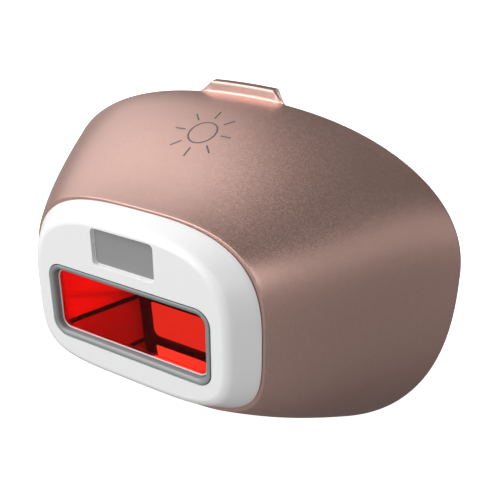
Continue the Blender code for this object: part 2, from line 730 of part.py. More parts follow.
def make_coupling_plate():
    depths = (PLATE_FRONT, PLATE_REAR)
    through = around(depths)
    plate = add_object("coupling_plate", plate_of_shell(depths, INNER_INSET), "grey_plastic")
    cutter = aperture_form(depths, APERTURE_FLARE)
    boolean(plate, add_object("plate_aperture_cut", cutter, None))
    seal_room = APERTURE_FLARE + SEAL_WIDTH + 2 * GAP
    groove = depth_box(
        (APERTURE_HALF_WIDTH + seal_room, APERTURE_HALF_HEIGHT + seal_room),
        (PLATE_REAR - SEAL_DEPTH - GAP, through[1]),
        corner=APERTURE_CORNER + seal_room / 2,
    )
    boolean(plate, add_object("seal_groove_cut", groove, None))
    block_half = (CONTACT_HALF_WIDTH + GAP, CONTACT_HALF_HEIGHT + GAP)
    block = depth_box(block_half, through, (0.0, CONTACT_HEIGHT))
    boolean(plate, add_object("contact_opening_cut", block, None))
    slot_half = (LATCH_THICKNESS / 2 + LATCH_SLOT_GAP, LATCH_HALF_HEIGHT + GAP)
    for side in (-1, 1):
        slot = depth_box(slot_half, through, (side * latch_x(), 0.0))
        boolean(plate, add_object("latch_slot_cut", slot, None))
    sink = (PLATE_REAR - SCREW_HEAD_HEIGHT - GAP, through[1])
    for place in POST_PLACES:
        hole = cylinder(SCREW_RADIUS + GAP, through, place, segments=16)
        boolean(plate, add_object("screw_hole_cut", hole, None))
        seat = cylinder(SCREW_HEAD_RADIUS + GAP, sink, place)
        boolean(plate, add_object("screw_seat_cut", seat, None))


def make_screws():
    head_front = PLATE_REAR - SCREW_HEAD_HEIGHT
    head_rear = PLATE_REAR - FLUSH_SETBACK
    for number, place in enumerate(POST_PLACES, start=1):
        head = cylinder(SCREW_HEAD_RADIUS, (head_front, head_rear), place)
        screw = add_object(f"plate_screw_{number}", head, "steel")
        shank_depths = (head_front - SCREW_LENGTH, head_front + SCREW_HEAD_HEIGHT / 4)
        shank = cylinder(SCREW_RADIUS, shank_depths, place, segments=16)
        boolean(screw, add_object("shank_form", shank, None), "UNION")
        socket_depths = (head_rear - SCREW_SOCKET_DEPTH, head_rear + 1.0)
        socket = cylinder(SCREW_SOCKET_RADIUS, socket_depths, place, segments=6)
        boolean(screw, add_object("screw_socket_cut", socket, None))


def make_seal():
    depths = (PLATE_REAR - SEAL_DEPTH, PLATE_REAR - FLUSH_SETBACK)
    inner_room = APERTURE_FLARE + GAP
    outer_room = inner_room + SEAL_WIDTH
    outer_half = (APERTURE_HALF_WIDTH + outer_room, APERTURE_HALF_HEIGHT + outer_room)
    outline = depth_box(outer_half, depths, corner=APERTURE_CORNER + outer_room / 2)
    seal = add_object("aperture_seal", outline, "silicone")
    inner_half = (APERTURE_HALF_WIDTH + inner_room, APERTURE_HALF_HEIGHT + inner_room)
    hole = depth_box(inner_half, around(depths), corner=APERTURE_CORNER + inner_room / 2)
    boolean(seal, add_object("seal_cut", hole, None))


def make_contacts():
    block_form = depth_box(
        (CONTACT_HALF_WIDTH, CONTACT_HALF_HEIGHT), (CONTACT_FRONT, CONTACT_REAR), (0.0, CONTACT_HEIGHT)
    )
    block = add_object("contact_block", block_form, "black_plastic")
    pad_half = (PAD_HALF_WIDTH, PAD_HALF_HEIGHT)
    pocket_half = (PAD_HALF_WIDTH + FINE_GAP, PAD_HALF_HEIGHT + FINE_GAP)
    pad_front = CONTACT_REAR - PAD_THICKNESS
    for number in range(PAD_COUNT):
        place = ((number - (PAD_COUNT - 1) / 2) * PAD_PITCH, CONTACT_HEIGHT)
        pocket = depth_box(pocket_half, (pad_front - FINE_GAP, CONTACT_REAR + 1.0), place)
        boolean(block, add_object("pad_pocket_cut", pocket, None))
        pad = depth_box(pad_half, (pad_front, CONTACT_REAR), place, corner=0.3)
        add_object(f"contact_pad_{number + 1}", pad, "gold")
    chip_rear = CONTACT_FRONT - FINE_GAP
    chip_half = (CHIP_HALF_WIDTH, CHIP_HALF_HEIGHT)
    chip = depth_box(chip_half, (chip_rear - CHIP_HEIGHT, chip_rear), (CHIP_X, CONTACT_HEIGHT))
    add_object("coding_chip", chip, "black_plastic")


def make_ribbon():
    """The flat lead from the front board to the contact block, with a step where it rises."""
    end = CONTACT_FRONT - FINE_GAP
    path = [
        (BOARD_REAR + FINE_GAP, SENSOR_HEIGHT),
        (CHASSIS_REAR + GAP, SENSOR_HEIGHT),
        (end - RIBBON_RAMP, CONTACT_HEIGHT - WIDE_GAP),
        (end, CONTACT_HEIGHT - WIDE_GAP),
    ]
    bm = bmesh.new()
    rows = []
    for depth, height in path:
        row = [bm.verts.new((side * RIBBON_WIDTH / 2, depth, height)) for side in (-1, 1)]
        rows.append(row)
    for near, far in zip(rows, rows[1:]):
        bm.faces.new((near[0], near[1], far[1], far[0]))
    ribbon = add_object("flex_ribbon", bm, "polyimide")
    skin = ribbon.modifiers.new("thickness", "SOLIDIFY")
    skin.thickness = RIBBON_THICKNESS * MM
    skin.offset = 0.0


def make_latches():
    """A tongue on each side of the socket. Its hook faces inwards, and it turns about its root."""
    tip = HEAD_DEPTH - LATCH_SETBACK
    foot_rear = PLATE_FRONT - WIDE_GAP
    foot_depths = (foot_rear - LATCH_FOOT_THICKNESS, foot_rear)
    foot_half = (LATCH_FOOT_HALF_WIDTH, LATCH_HALF_HEIGHT + 3 * GAP)
    hook_depths = (tip - LATCH_HOOK_LENGTH - GAP, tip - GAP)
    hook_half = ((LATCH_THICKNESS + LATCH_HOOK) / 2, LATCH_HALF_HEIGHT - GAP)
    for name, side in (("left", -1), ("right", 1)):
        place = (side * latch_x(), 0.0)
        root = (place[0], PLATE_FRONT + PLATE_THICKNESS / 2, 0.0)
        arm = depth_box((LATCH_THICKNESS / 2, LATCH_HALF_HEIGHT), (foot_depths[0], tip), place)
        latch = add_object(f"snap_latch_{name}", arm, "black_plastic", origin=root)
        hook = depth_box(hook_half, hook_depths, (side * (latch_x() - LATCH_HOOK / 2), 0.0))
        slope_the_hook(hook, side, sum(hook_depths) / 2)
        boolean(latch, add_object(f"hook_form_{name}", hook, None), "UNION")
        foot = depth_box(foot_half, foot_depths, place)
        boolean(latch, add_object(f"foot_form_{name}", foot, None), "UNION")


def slope_the_hook(bm, side, middle):
    """Draws the hook's inner rear edge back to the arm, as a lead-in for the handset's nose."""
    for vertex in bm.verts:
        if vertex.co.y > middle and side * vertex.co.x < latch_x():
            vertex.co.x += side * LATCH_HOOK


def centre_head():
    """Moves the whole head so that the centre of its bounding box is the origin."""
    depth = (HEAD_DEPTH + TAB_OVERHANG - RIM_PROUD) / 2
    height = (REAR_TOP + TAB_HEIGHT + REAR_BOTTOM) / 2
    HEAD.location = (0.0, -depth * MM, -height * MM)


def build():
    make_shell()
    make_bezel()
    make_contact_frame()
    make_glass()
    make_light_box()
    make_springs()
    make_sensor()
    make_front_board()
    make_switches()
    make_chassis()
    make_coupling_plate()
    make_screws()
    make_seal()
    make_contacts()
    make_ribbon()
    make_latches()
    centre_head()


build()
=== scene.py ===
"""The visible surfaces of a clip-on treatment head for a pulsed-light hair remover.

The head is a flared cap in rose-gold lacquer. Its small end carries a white bezel with a metal
contact frame round a red filter glass and a window for the skin sensor. Its large end is an open
socket for the handset. Every operator below makes one piece, or one group of like pieces, round
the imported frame. Lengths are in metres, and depth is measured from the bezel's face.
"""

import json
import math

import bmesh
import bpy
from bpy.props import FloatProperty, FloatVectorProperty, IntProperty, PointerProperty
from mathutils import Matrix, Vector


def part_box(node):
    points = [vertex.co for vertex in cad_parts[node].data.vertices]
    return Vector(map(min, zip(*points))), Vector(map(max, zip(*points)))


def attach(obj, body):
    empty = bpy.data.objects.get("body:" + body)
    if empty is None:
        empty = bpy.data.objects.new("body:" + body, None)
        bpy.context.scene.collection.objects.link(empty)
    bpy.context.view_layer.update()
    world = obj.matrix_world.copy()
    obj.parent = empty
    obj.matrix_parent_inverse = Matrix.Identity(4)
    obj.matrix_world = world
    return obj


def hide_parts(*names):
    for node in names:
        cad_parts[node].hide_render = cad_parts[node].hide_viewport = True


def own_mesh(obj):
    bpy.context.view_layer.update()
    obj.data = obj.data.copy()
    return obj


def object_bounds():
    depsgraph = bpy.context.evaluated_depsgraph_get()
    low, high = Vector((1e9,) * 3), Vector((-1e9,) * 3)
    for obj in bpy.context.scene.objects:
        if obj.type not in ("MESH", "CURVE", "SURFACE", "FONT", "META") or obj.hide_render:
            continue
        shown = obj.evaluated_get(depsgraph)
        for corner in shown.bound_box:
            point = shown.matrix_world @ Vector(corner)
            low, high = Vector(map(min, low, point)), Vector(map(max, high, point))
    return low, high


bl_info = {
    "name": "Treatment Head",
    "version": (1, 0, 0),
    "blender": (4, 5, 0),
    "location": "3D View > Sidebar > Head",
    "description": "Builds the visible surfaces of a clip-on light treatment head",
    "category": "Object",
}

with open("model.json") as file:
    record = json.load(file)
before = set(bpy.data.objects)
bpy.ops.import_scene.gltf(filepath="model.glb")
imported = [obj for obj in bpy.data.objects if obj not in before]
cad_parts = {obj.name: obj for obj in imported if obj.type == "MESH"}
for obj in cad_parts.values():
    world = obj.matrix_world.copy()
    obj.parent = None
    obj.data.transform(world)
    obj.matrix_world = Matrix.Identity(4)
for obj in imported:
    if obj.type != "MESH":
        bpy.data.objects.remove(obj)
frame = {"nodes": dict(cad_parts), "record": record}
CAD_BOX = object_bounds()
MM = 0.001
HOUSING = "housing"
PROUD = 0.1 * MM  # how far the contact frame stands in front of the bezel's face
FACE_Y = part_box("contact_frame")[0].y + PROUD
AXIS_Z = (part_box("contact_frame")[0].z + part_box("contact_frame")[1].z) / 2
CORNER_STEPS = 10
SHELL_TURNS = 288  # points round the shell, before the tab's own
SLOPE_STEPS = 22  # further points across each of the tab's slopes
SIDE_STEPS = 46  # rings along the shell's outside
INSIDE_STEPS = 30
RIM_STEPS = 8  # rings across each half of the plain rim
BEZEL_TURNS = 224
RING_STEPS = 60  # points round the mark's ring
SMOOTH_ANGLE = math.radians(32)
SHELL_ENDS = ("front", "rear")
BEZEL_ENDS = ("face", "flank")
SLOPED = ("half_width", "top", "bottom")  # the measures of a section that bend with depth
PLAIN = ("centre", "upper_squareness", "lower_squareness")
CARRIED = ("turn", "depth", "inset", "lift")  # what each point of the shell's grid carries
SENSOR_HALF_WIDTH = 4.45 * MM  # of the plate in the bezel's opening
SENSOR_GAP = 0.3 * MM
SENSOR_SPREAD = 0.11 * MM  # how much the plate fills of that gap
BEYOND = 1.0 * MM  # how far a cutting tool stands out on both sides
FLOOR_HALF = 3.0
CAMERA_PLACE = (59.02 * MM, -65.46 * MM, 51.85 * MM)  # across, depth and height, as for at()
CAMERA_TILT = math.radians(64.27)
CAMERA_TURN = math.radians(32.06)


# --- sizes and colours a user would change ---


def length(name, millimetres, description):
    return FloatProperty(
        name=name, description=description, default=millimetres * MM, precision=5, unit="LENGTH"
    )


def number(name, value, description):
    return FloatProperty(name=name, description=description, default=value)


def colour(name, value, description):
    return FloatVectorProperty(
        name=name, description=description, default=value, subtype="COLOR", size=3, min=0, max=1
    )


class ShellSizes(bpy.types.PropertyGroup):
    front_depth: length("Front edge", 3.5, "Depth of the shell's front edge")
    rear_depth: length("Rear rim", 26.9, "Depth of the shell's rear rim")
    front_half_width: length("Front half width", 17.9, "Half width at the front edge")
    front_top: length("Front top", 14.2, "Height above the light axis at the front edge")
    front_bottom: length("Front bottom", -11.5, "Depth below the light axis at the front edge")
    front_centre: length("Front centre", 0.47, "Height of the widest place at the front edge")
    front_upper_squareness: number("Front upper squareness", 3.2, "Superellipse exponent")
    front_lower_squareness: number("Front lower squareness", 3.9, "Superellipse exponent")
    rear_half_width: length("Rear half width", 33.05, "Half width at the rear rim")
    rear_top: length("Rear top", 22.55, "Height above the light axis at the rear rim")
    rear_bottom: length("Rear bottom", -27.4, "Depth below the light axis at the rear rim")
    rear_centre: length("Rear centre", 3.84, "Height of the widest place at the rear rim")
    rear_upper_squareness: number("Rear upper squareness", 2.23, "Superellipse exponent")
    rear_lower_squareness: number("Rear lower squareness", 2.44, "Superellipse exponent")
    front_half_width_slope: number("Side slope, front", 0.824, "Spread of the sides in front")
    rear_half_width_slope: number("Side slope, rear", 0.785, "Spread of the sides at the rim")
    front_top_slope: number("Top slope, front", 0.263, "Rise of the top in front")
    rear_top_slope: number("Top slope, rear", 0.070, "Rise of the top at the rim")
    front_bottom_slope: number("Bottom slope, front", -0.710, "Fall of the bottom in front")
    rear_bottom_slope: number("Bottom slope, rear", -0.695, "Fall of the bottom at the rim")
    wall: length("Wall", 1.6, "Wall thickness across the section")
    lip_rounding: length("Lip rounding", 0.08, "Radius of the front edge")
    rim_rounding: length("Rim rounding", 0.45, "Radius of the rear rim's edges")


class TabSizes(bpy.types.PropertyGroup):
    base_half_width: length("Base half width", 6.9, "Half width of the tab at its foot")
    top_half_width: length("Top half width", 5.0, "Half width of the tab at its ridge")
    height: length("Height", 1.5, "Height above the shell's rear top edge")
    thickness: length("Thickness", 1.6, "From the tab's front to its back")
    overhang: length("Overhang", 1.3, "How far it stands out behind the rim")
    rounding: length("Rounding", 0.35, "Radius of the ridge's edges and of the foot's hollow")
    root: length("Root", 1.2, "How far its back reaches down the rim")


class MarkSizes(bpy.types.PropertyGroup):
    depth: length("Place", 17.3, "Depth of the mark's centre")
    ring_radius: length("Ring radius", 1.9, "Radius of the inner ring")
    ray_start: length("Ray start", 2.8, "Distance from the centre to a ray")
    ray_end: length("Ray end", 4.3, "Distance from the centre to a ray's far end")
    stroke: length("Stroke", 0.34, "Width of the lines")
    rays: IntProperty(name="Rays", description="Number of rays", default=8, min=3)


class BezelSizes(bpy.types.PropertyGroup):
    face_half_width: length("Face half width", 14.76, "Half width of the face's outline")
    face_top: length("Face top", 12.63, "Height above the light axis")
    face_bottom: length("Face bottom", -8.70, "Depth below the light axis")
    face_centre: length("Face centre", 0.59, "Height of the face's widest place")
    face_upper_squareness: number("Face upper squareness", 3.24, "Superellipse exponent")
    face_lower_squareness: number("Face lower squareness", 4.36, "Superellipse exponent")
    flank_half_width: length("Flank half width", 17.72, "Half width where the shell begins")
    flank_top: length("Flank top", 14.06, "Height above the light axis")
    flank_bottom: length("Flank bottom", -10.99, "Depth below the light axis")
    flank_centre: length("Flank centre", 0.21, "Height of the flank's widest place")
    flank_upper_squareness: number("Flank upper squareness", 3.06, "Superellipse exponent")
    flank_lower_squareness: number("Flank lower squareness", 3.70, "Superellipse exponent")
    rounding: length("Rounding", 0.7, "Radius between the face and the flank")
    plate: length("Plate", 2.0, "Thickness of the face")
    seam: length("Seam", 0.12, "Gap between the flank and the shell")
    rear_edge: length("Rear edge", 0.12, "Radius of the flank's and the skirt's rear edges")
    skirt_inset: length("Skirt inset", 1.9, "From the shell's outer section to the skirt")
    skirt_wall: length("Skirt wall", 0.9, "Wall of the skirt")
    skirt_end: length("Skirt end", 6.5, "Depth of the skirt's rear edge")
    edge: length("Opening edge", 0.05, "Radius round the window and the sensor opening")
    sensor_corner: length("Sensor corner", 0.6, "Corner radius of the sensor's opening")


class FrameSizes(bpy.types.PropertyGroup):
    half_width: length("Half width", 12.5, "Half width of the rim")
    half_height: length("Half height", 5.15, "Half height of the rim")
    wall: length("Wall", 0.7, "Width of the rim's front")
    corner: length("Corner", 2.0, "Outer corner radius")
    gap: length("Gap", 0.14, "Clearance in the bezel's opening")
    flange_lip: length("Flange lip", 1.0, "How far the flange stands out behind the bezel")
    flange_front: length("Flange front", 2.3, "Depth of the flange's front")
    flange_rear: length("Flange rear", 3.1, "Depth of the flange's rear")
    edge: length("Outer edge", 0.12, "Radius of the rim's outer edge")
    inner_edge: length("Inner edge", 0.45, "Radius of the rim's inner edge")


class BoxSizes(bpy.types.PropertyGroup):
    glass: length("Glass", 0.6, "Thickness of the filter glass")
    front_half_width: length("Front half width", 11.45, "Half width behind the glass")
    front_half_height: length("Front half height", 4.13, "Half height behind the glass")
    rear_half_width: length("Rear half width", 7.6, "Half width at the far end")
    rear_half_height: length("Rear half height", 3.75, "Half height at the far end")
    seam: length("Seam", 0.40, "Open seam between the side and the level sheets")
    thickness: length("Thickness", 0.12, "Thickness of the sheets")


class Finishes(bpy.types.PropertyGroup):
    lacquer: colour("Lacquer", (0.58, 0.36, 0.312), "Body colour of the shell")
    flake: colour("Flake", (0.88, 0.64, 0.57), "Colour of the lacquer's flake")
    white: colour("White", (0.87, 0.87, 0.87), "The bezel's moulding")
    frame_metal: colour("Frame metal", (0.29, 0.315, 0.315), "The contact frame")
    red: colour("Filter", (0.95, 0.026, 0.013), "The filter glass, through both surfaces")
    mirror: colour("Mirror", (0.97, 0.97, 0.97), "The light box's reflector sheet")
    window: colour("Sensor window", (0.30, 0.30, 0.30), "The sensor's tinted plate")
    mark: colour("Mark", (0.13, 0.12, 0.115), "The printed mark")
    black: colour("Black", (0.018, 0.018, 0.020), "Black mouldings")
    grey: colour("Grey", (0.16, 0.16, 0.17), "Grey mouldings")
    silicone: colour("Silicone", (0.045, 0.045, 0.047), "Seals and gaskets")
    board: colour("Board", (0.015, 0.11, 0.045), "Solder mask")
    film: colour("Film", (0.50, 0.22, 0.035), "The flat lead's film")
    gold: colour("Gold", (0.83, 0.60, 0.25), "Contact pads")
    steel: colour("Steel", (0.56, 0.56, 0.57), "Screws, springs and plungers")
    resin: colour("Resin", (0.80, 0.74, 0.48), "The sensor's diodes")


class StageSettings(bpy.types.PropertyGroup):
    floor_colour: colour("Floor", (0.80, 0.80, 0.80), "The floor as it is seen")
    floor_shade: colour("Reflected floor", (0.30, 0.30, 0.30), "The floor's effect on the head")
    floor_lift: number("Floor lift", 0.88, "Evens out the shade on the floor")
    sky: number("Surround", 0.09, "Strength of the even light from all sides")
    backdrop: number("Backdrop", 1.2, "Brightness of the surround where it is seen")
    key: number("Key", 3.8, "Power of the light above the left front, in watts")
    left: number("Left", 1.0, "Power of the light at the left, in watts")
    front: number("Front", 4.0, "Power of the light in front, in watts")
    right: number("Right", 0.45, "Power of the light at the right, in watts")
    near: number("Near right", 1.5, "Power of the light at the right front, in watts")
    rear: number("Rear", 1.5, "Power of the light behind, in watts")
    lens: number("Lens", 58.68, "Focal length in millimetres")


# --- node trees ---


class Wire:
    """A node's socket that takes part in arithmetic. Each step adds a Math node."""

    def __init__(self, board, socket):
        self.board = board
        self.socket = socket

    def __add__(self, other):
        return self.board.math("ADD", self, other)

    def __sub__(self, other):
        return self.board.math("SUBTRACT", self, other)

    def __rsub__(self, other):
        return self.board.math("SUBTRACT", other, self)

    def __mul__(self, other):
        return self.board.math("MULTIPLY", self, other)

    def __truediv__(self, other):
        return self.board.math("DIVIDE", self, other)

    def __rtruediv__(self, other):
        return self.board.math("DIVIDE", other, self)

    def __pow__(self, other):
        return self.board.math("POWER", self, other)

    def __gt__(self, other):
        return self.board.math("GREATER_THAN", self, other)

    __radd__ = __add__
    __rmul__ = __mul__


class Placed:
    """A node in a tree, whose outputs are read by name or number."""

    def __init__(self, board, node):
        self.board = board
        self.node = node

    def __getitem__(self, key):
        return Wire(self.board, self.node.outputs[key])


class Board:
    """A node tree that nodes are added to."""

    def __init__(self, tree):
        self.tree = tree

    def put(self, kind, settings=None, values=None):
        """Adds a node: its settings first, and then the values or links of its sockets."""
        node = self.tree.nodes.new(kind)
        for key, value in (settings or {}).items():
            if key == "stops":
                ramp = node.color_ramp
                while len(ramp.elements) < len(value):
                    ramp.elements.new(1.0)
                for element, (position, shade) in zip(ramp.elements, value):
                    element.position = position
                    element.color = (shade, shade, shade, 1.0)
            else:
                setattr(node, key, value)
        for key, value in (values or {}).items():
            if isinstance(value, Wire):
                self.tree.links.new(value.socket, node.inputs[key])
            elif value is not None:
                node.inputs[key].default_value = value
        return Placed(self, node)

    def math(self, operation, first, second=None):
        return self.put("ShaderNodeMath", {"operation": operation}, {0: first, 1: second})[0]

    def vector(self, x=0.0, y=0.0, z=0.0):
        return self.put("ShaderNodeCombineXYZ", None, {0: x, 1: y, 2: z})[0]

    def blend(self, factor, first, second):
        """A colour between two colours."""
        rgba = [c if isinstance(c, Wire) else (*c, 1.0) for c in (first, second)]
        settings = {"data_type": "RGBA"}
        return self.put("ShaderNodeMix", settings, {0: factor, 6: rgba[0], 7: rgba[1]})[2]

    def noise(self, place, scale, detail=2.0):
        values = {"Vector": place, "Scale": scale, "Detail": detail}
        return self.put("ShaderNodeTexNoise", None, values)[0]

    def seen_directly(self):
        """1 for what the eye sees straight or through glass, 0 for light and reflections."""
        path = self.put("ShaderNodeLightPath")
        through = path["Transmission Depth"] > 0.5
        return self.math("MAXIMUM", path["Is Camera Ray"], through)

    def bump(self, height, strength, distance):
        values = {"Height": height, "Strength": strength, "Distance": distance}
        return self.put("ShaderNodeBump", None, values)[0]


def emptied(tree):
    """A board on a material's or a world's tree without its first nodes."""
    tree.nodes.clear()
    return Board(tree)


def geometry_tree(name, inputs, build):
    """A tree from a mesh and named inputs to a mesh with one material and no instances."""
    tree = bpy.data.node_groups.new(name, "GeometryNodeTree")
    sockets = {"Geometry": "Geometry", "Material": "Material", **inputs}
    for label, kind in sockets.items():
        tree.interface.new_socket(label, in_out="INPUT", socket_type="NodeSocket" + kind)
    tree.interface.new_socket("Geometry", in_out="OUTPUT", socket_type="NodeSocketGeometry")
    board = Board(tree)
    given = board.put("NodeGroupInput")
    shape = build(board, given)
    whole = board.put("GeometryNodeRealizeInstances", None, {"Geometry": shape})[0]
    values = {"Geometry": whole, "Material": given["Material"]}
    painted = board.put("GeometryNodeSetMaterial", None, values)[0]
    board.put("NodeGroupOutput", None, {"Geometry": painted})
    return tree


def applied(piece):
    """An object's mesh with its modifiers applied."""
    depsgraph = bpy.context.evaluated_depsgraph_get()
    return bpy.data.meshes.new_from_object(piece.evaluated_get(depsgraph), depsgraph=depsgraph)


def grow(name, mesh, tree, material, **values):
    """Runs a tree on a mesh and keeps the result as a plain object."""
    seed = bpy.data.objects.new(name + "_seed", mesh)
    bpy.context.scene.collection.objects.link(seed)
    modifier = seed.modifiers.new("build", "NODES")
    modifier.node_group = tree
    values["Material"] = material
    for item in tree.interface.items_tree:
        key = item.name.replace(" ", "_")
        if item.in_out == "INPUT" and key in values:
            modifier[item.identifier] = values[key]
    result = applied(seed)
    bpy.data.objects.remove(seed)
    return show(name, result)


# --- mesh helpers ---


def smooth(mesh):
    """Shades a mesh smooth apart from its sharp edges."""
    mesh.polygons.foreach_set("use_smooth", [True] * len(mesh.polygons))
    mesh.set_sharp_from_angle(angle=SMOOTH_ANGLE)


def show(name, mesh):
    """Puts a mesh in the scene."""
    mesh.name = name
    smooth(mesh)
    piece = bpy.data.objects.new(name, mesh)
    bpy.context.scene.collection.objects.link(piece)
    return piece


def to_mesh(bm, name, material=None):
    bmesh.ops.recalc_face_normals(bm, faces=bm.faces)
    mesh = bpy.data.meshes.new(name)
    bm.to_mesh(mesh)
    bm.free()
    if material:
        mesh.materials.append(material)
    return mesh


def settle(piece, body, slot, *nodes):
    """Makes a finished piece ride on its body and hides the nodes it stands for. The slot is not
    used.
    """
    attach(piece, body)
    if nodes:
        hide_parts(*nodes)


def at(x, depth, z):
    """A place in the head's own measures as a point of the frame."""
    return Vector((x, FACE_Y + depth, AXIS_Z + z))


def loft(rings, closed=False):
    """Joins rings of equal numbers of points. The ends are capped, or joined if closed."""
    bm = bmesh.new()
    loops = [[bm.verts.new(point) for point in ring] for ring in rings]
    pairs = list(zip(loops, loops[1:]))
    if closed:
        pairs.append((loops[-1], loops[0]))
    for near, far in pairs:
        for i, vertex in enumerate(near):
            j = (i + 1) % len(near)
            bm.faces.new((vertex, near[j], far[j], far[i]))
    if not closed:
        bm.faces.new(loops[0])
        bm.faces.new(loops[-1])
    return bm


def rounded_rectangle(depth, half, corner, middle=(0.0, 0.0)):
    """Points round an upright rectangle with rounded corners."""
    corner = max(corner, 0.04 * MM)
    points = []
    for quadrant, (side, rise) in enumerate(((1, 1), (-1, 1), (-1, -1), (1, -1))):
        for step in range(CORNER_STEPS + 1):
            angle = (quadrant + step / CORNER_STEPS) * math.pi / 2
            x = side * (half[0] - corner) + corner * math.cos(angle)
            z = rise * (half[1] - corner) + corner * math.sin(angle)
            points.append(at(middle[0] + x, depth, middle[1] + z))
    return points


def quarter(steps, first=0):
    """The sine and cosine of even steps through a right angle."""
    turns = (math.pi / 2 * i / steps for i in range(first, steps + 1))
    return [(math.sin(turn), math.cos(turn)) for turn in turns]


def arc(radius, steps=4):
    """Pairs that go from (radius, 0) to (0, radius) through a quarter circle."""
    return [(radius * (1 - sine), radius * (1 - cosine)) for sine, cosine in quarter(steps)]


def outline_rings(profile, half, corner, middle=(0.0, 0.0)):
    """Rounded rectangles, one for each (depth, outward offset) of a profile."""
    rings = []
    for depth, out in profile:
        size = (half[0] + out, half[1] + out)
        rings.append(rounded_rectangle(depth, size, corner + out, middle))
    return rings


def plate_profile(front, rear, edge):
    """A plate's side from front to rear with both edges rounded."""
    near = [(front + along, -across) for across, along in arc(edge)]
    far = [(rear - along, -across) for across, along in reversed(arc(edge))]
    return near + far


def cut(piece, tool, operation="DIFFERENCE"):
    """Applies a Boolean and discards the tool."""
    modifier = piece.modifiers.new("cut", "BOOLEAN")
    modifier.operation = operation
    modifier.solver = "EXACT"
    modifier.object = tool
    result = applied(piece)
    piece.modifiers.clear()
    piece.data = result
    bpy.data.objects.remove(tool)


def even_normals(piece):
    """Lets large flat faces set the shading of the edges round them."""
    smooth(piece.data)
    modifier = piece.modifiers.new("normals", "WEIGHTED_NORMAL")
    modifier.keep_sharp = True
    piece.data = applied(piece)
    piece.modifiers.clear()


def softened(name, node, material, width, segments=2):
    """A copy of a node with its sharp edges rounded."""
    bm = bmesh.new()
    bm.from_mesh(frame["nodes"][node].data)
    bmesh.ops.remove_doubles(bm, verts=bm.verts, dist=1e-7)
    flat = math.radians(1.0)
    bmesh.ops.dissolve_limit(bm, angle_limit=flat, verts=bm.verts, edges=bm.edges)
    sharp = [e for e in bm.edges if e.is_manifold and e.calc_face_angle() > SMOOTH_ANGLE]
    bmesh.ops.bevel(
        bm, geom=sharp, offset=width, segments=segments, profile=0.5, affect="EDGES",
        clamp_overlap=True,
    )
    piece = show(name, to_mesh(bm, name, material))
    even_normals(piece)
    return piece


def paint(node, material):
    """Gives a carried-over node its material."""
    materials = frame["nodes"][node].data.materials
    materials.clear()
    materials.append(material)


def numbered(name, count):
    return [f"{name}_{n}" for n in range(1, count + 1)]


def middle_of(node):
    """A node's middle, across the head and above the light axis."""
    low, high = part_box(node)
    return ((low.x + high.x) / 2, (low.z + high.z) / 2 - AXIS_Z)


def half_of(node):
    """Half of a node's width and height."""
    low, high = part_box(node)
    return ((high.x - low.x) / 2, (high.z - low.z) / 2)


def depths_of(node):
    """The depths of a node's front and rear."""
    low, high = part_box(node)
    return low.y - FACE_Y, high.y - FACE_Y


# --- the shell's rule ---


def hermite(t, start, end, start_slope, end_slope):
    """A cubic from start to end with the given slopes per unit of t."""
    return (
        start * (2 * t**3 - 3 * t**2 + 1)
        + start_slope * (t**3 - 2 * t**2 + t)
        + end * (3 * t**2 - 2 * t**3)
        + end_slope * (t**3 - t**2)
    )


def between(t, start, end):
    return start + (end - start) * t


def even(start, end, count):
    """Even steps from start to end, without start."""
    return [between(i / count, start, end) for i in range(1, count + 1)]


def turns_round(count):
    return [2 * math.pi * i / count for i in range(count)]


def shell_section(sizes, depth):
    """The measures of the shell's outer section, SLOPED and then PLAIN."""
    run = sizes.rear_depth - sizes.front_depth
    t = (depth - sizes.front_depth) / run

    def measure(name):
        return [getattr(sizes, f"{end}_{name}") for end in SHELL_ENDS]

    slopes = {name: [slope * run for slope in measure(name + "_slope")] for name in SLOPED}
    section = [hermite(t, *measure(name), *slopes[name]) for name in SLOPED]
    return section + [between(t, *measure(name)) for name in PLAIN]


def flank_section(sizes, share):
    """The same measures of the bezel's flank, from its face at 0 to its rear edge at 1."""
    pairs = [[getattr(sizes, f"{end}_{name}") for end in BEZEL_ENDS] for name in SLOPED + PLAIN]
    return [between(share, *pair) for pair in pairs]


def section_point(section, angle, depth, inset):
    """The point of a section in one direction. Each half of a section is a superellipse."""
    half_width, top, bottom, centre, upper, lower = section
    cosine, sine = math.cos(angle), math.sin(angle)
    power = 2.0 / (upper if sine >= 0 else lower)
    reach = (top - centre if sine >= 0 else centre - bottom) - inset
    x = (half_width - inset) * math.copysign(abs(cosine) ** power, cosine)
    return at(x, depth, centre + reach * math.copysign(abs(sine) ** power, sine))


def top_point(sizes, x, depth, inset):
    """The point of the shell's upper half above x at a depth."""
    half_width, top, _, centre, upper, _ = shell_section(sizes, depth)
    share = abs(x) / (half_width - inset)
    rise = (top - centre - inset) * (1 - share**upper) ** (1 / upper)
    return at(x, depth, centre + rise)


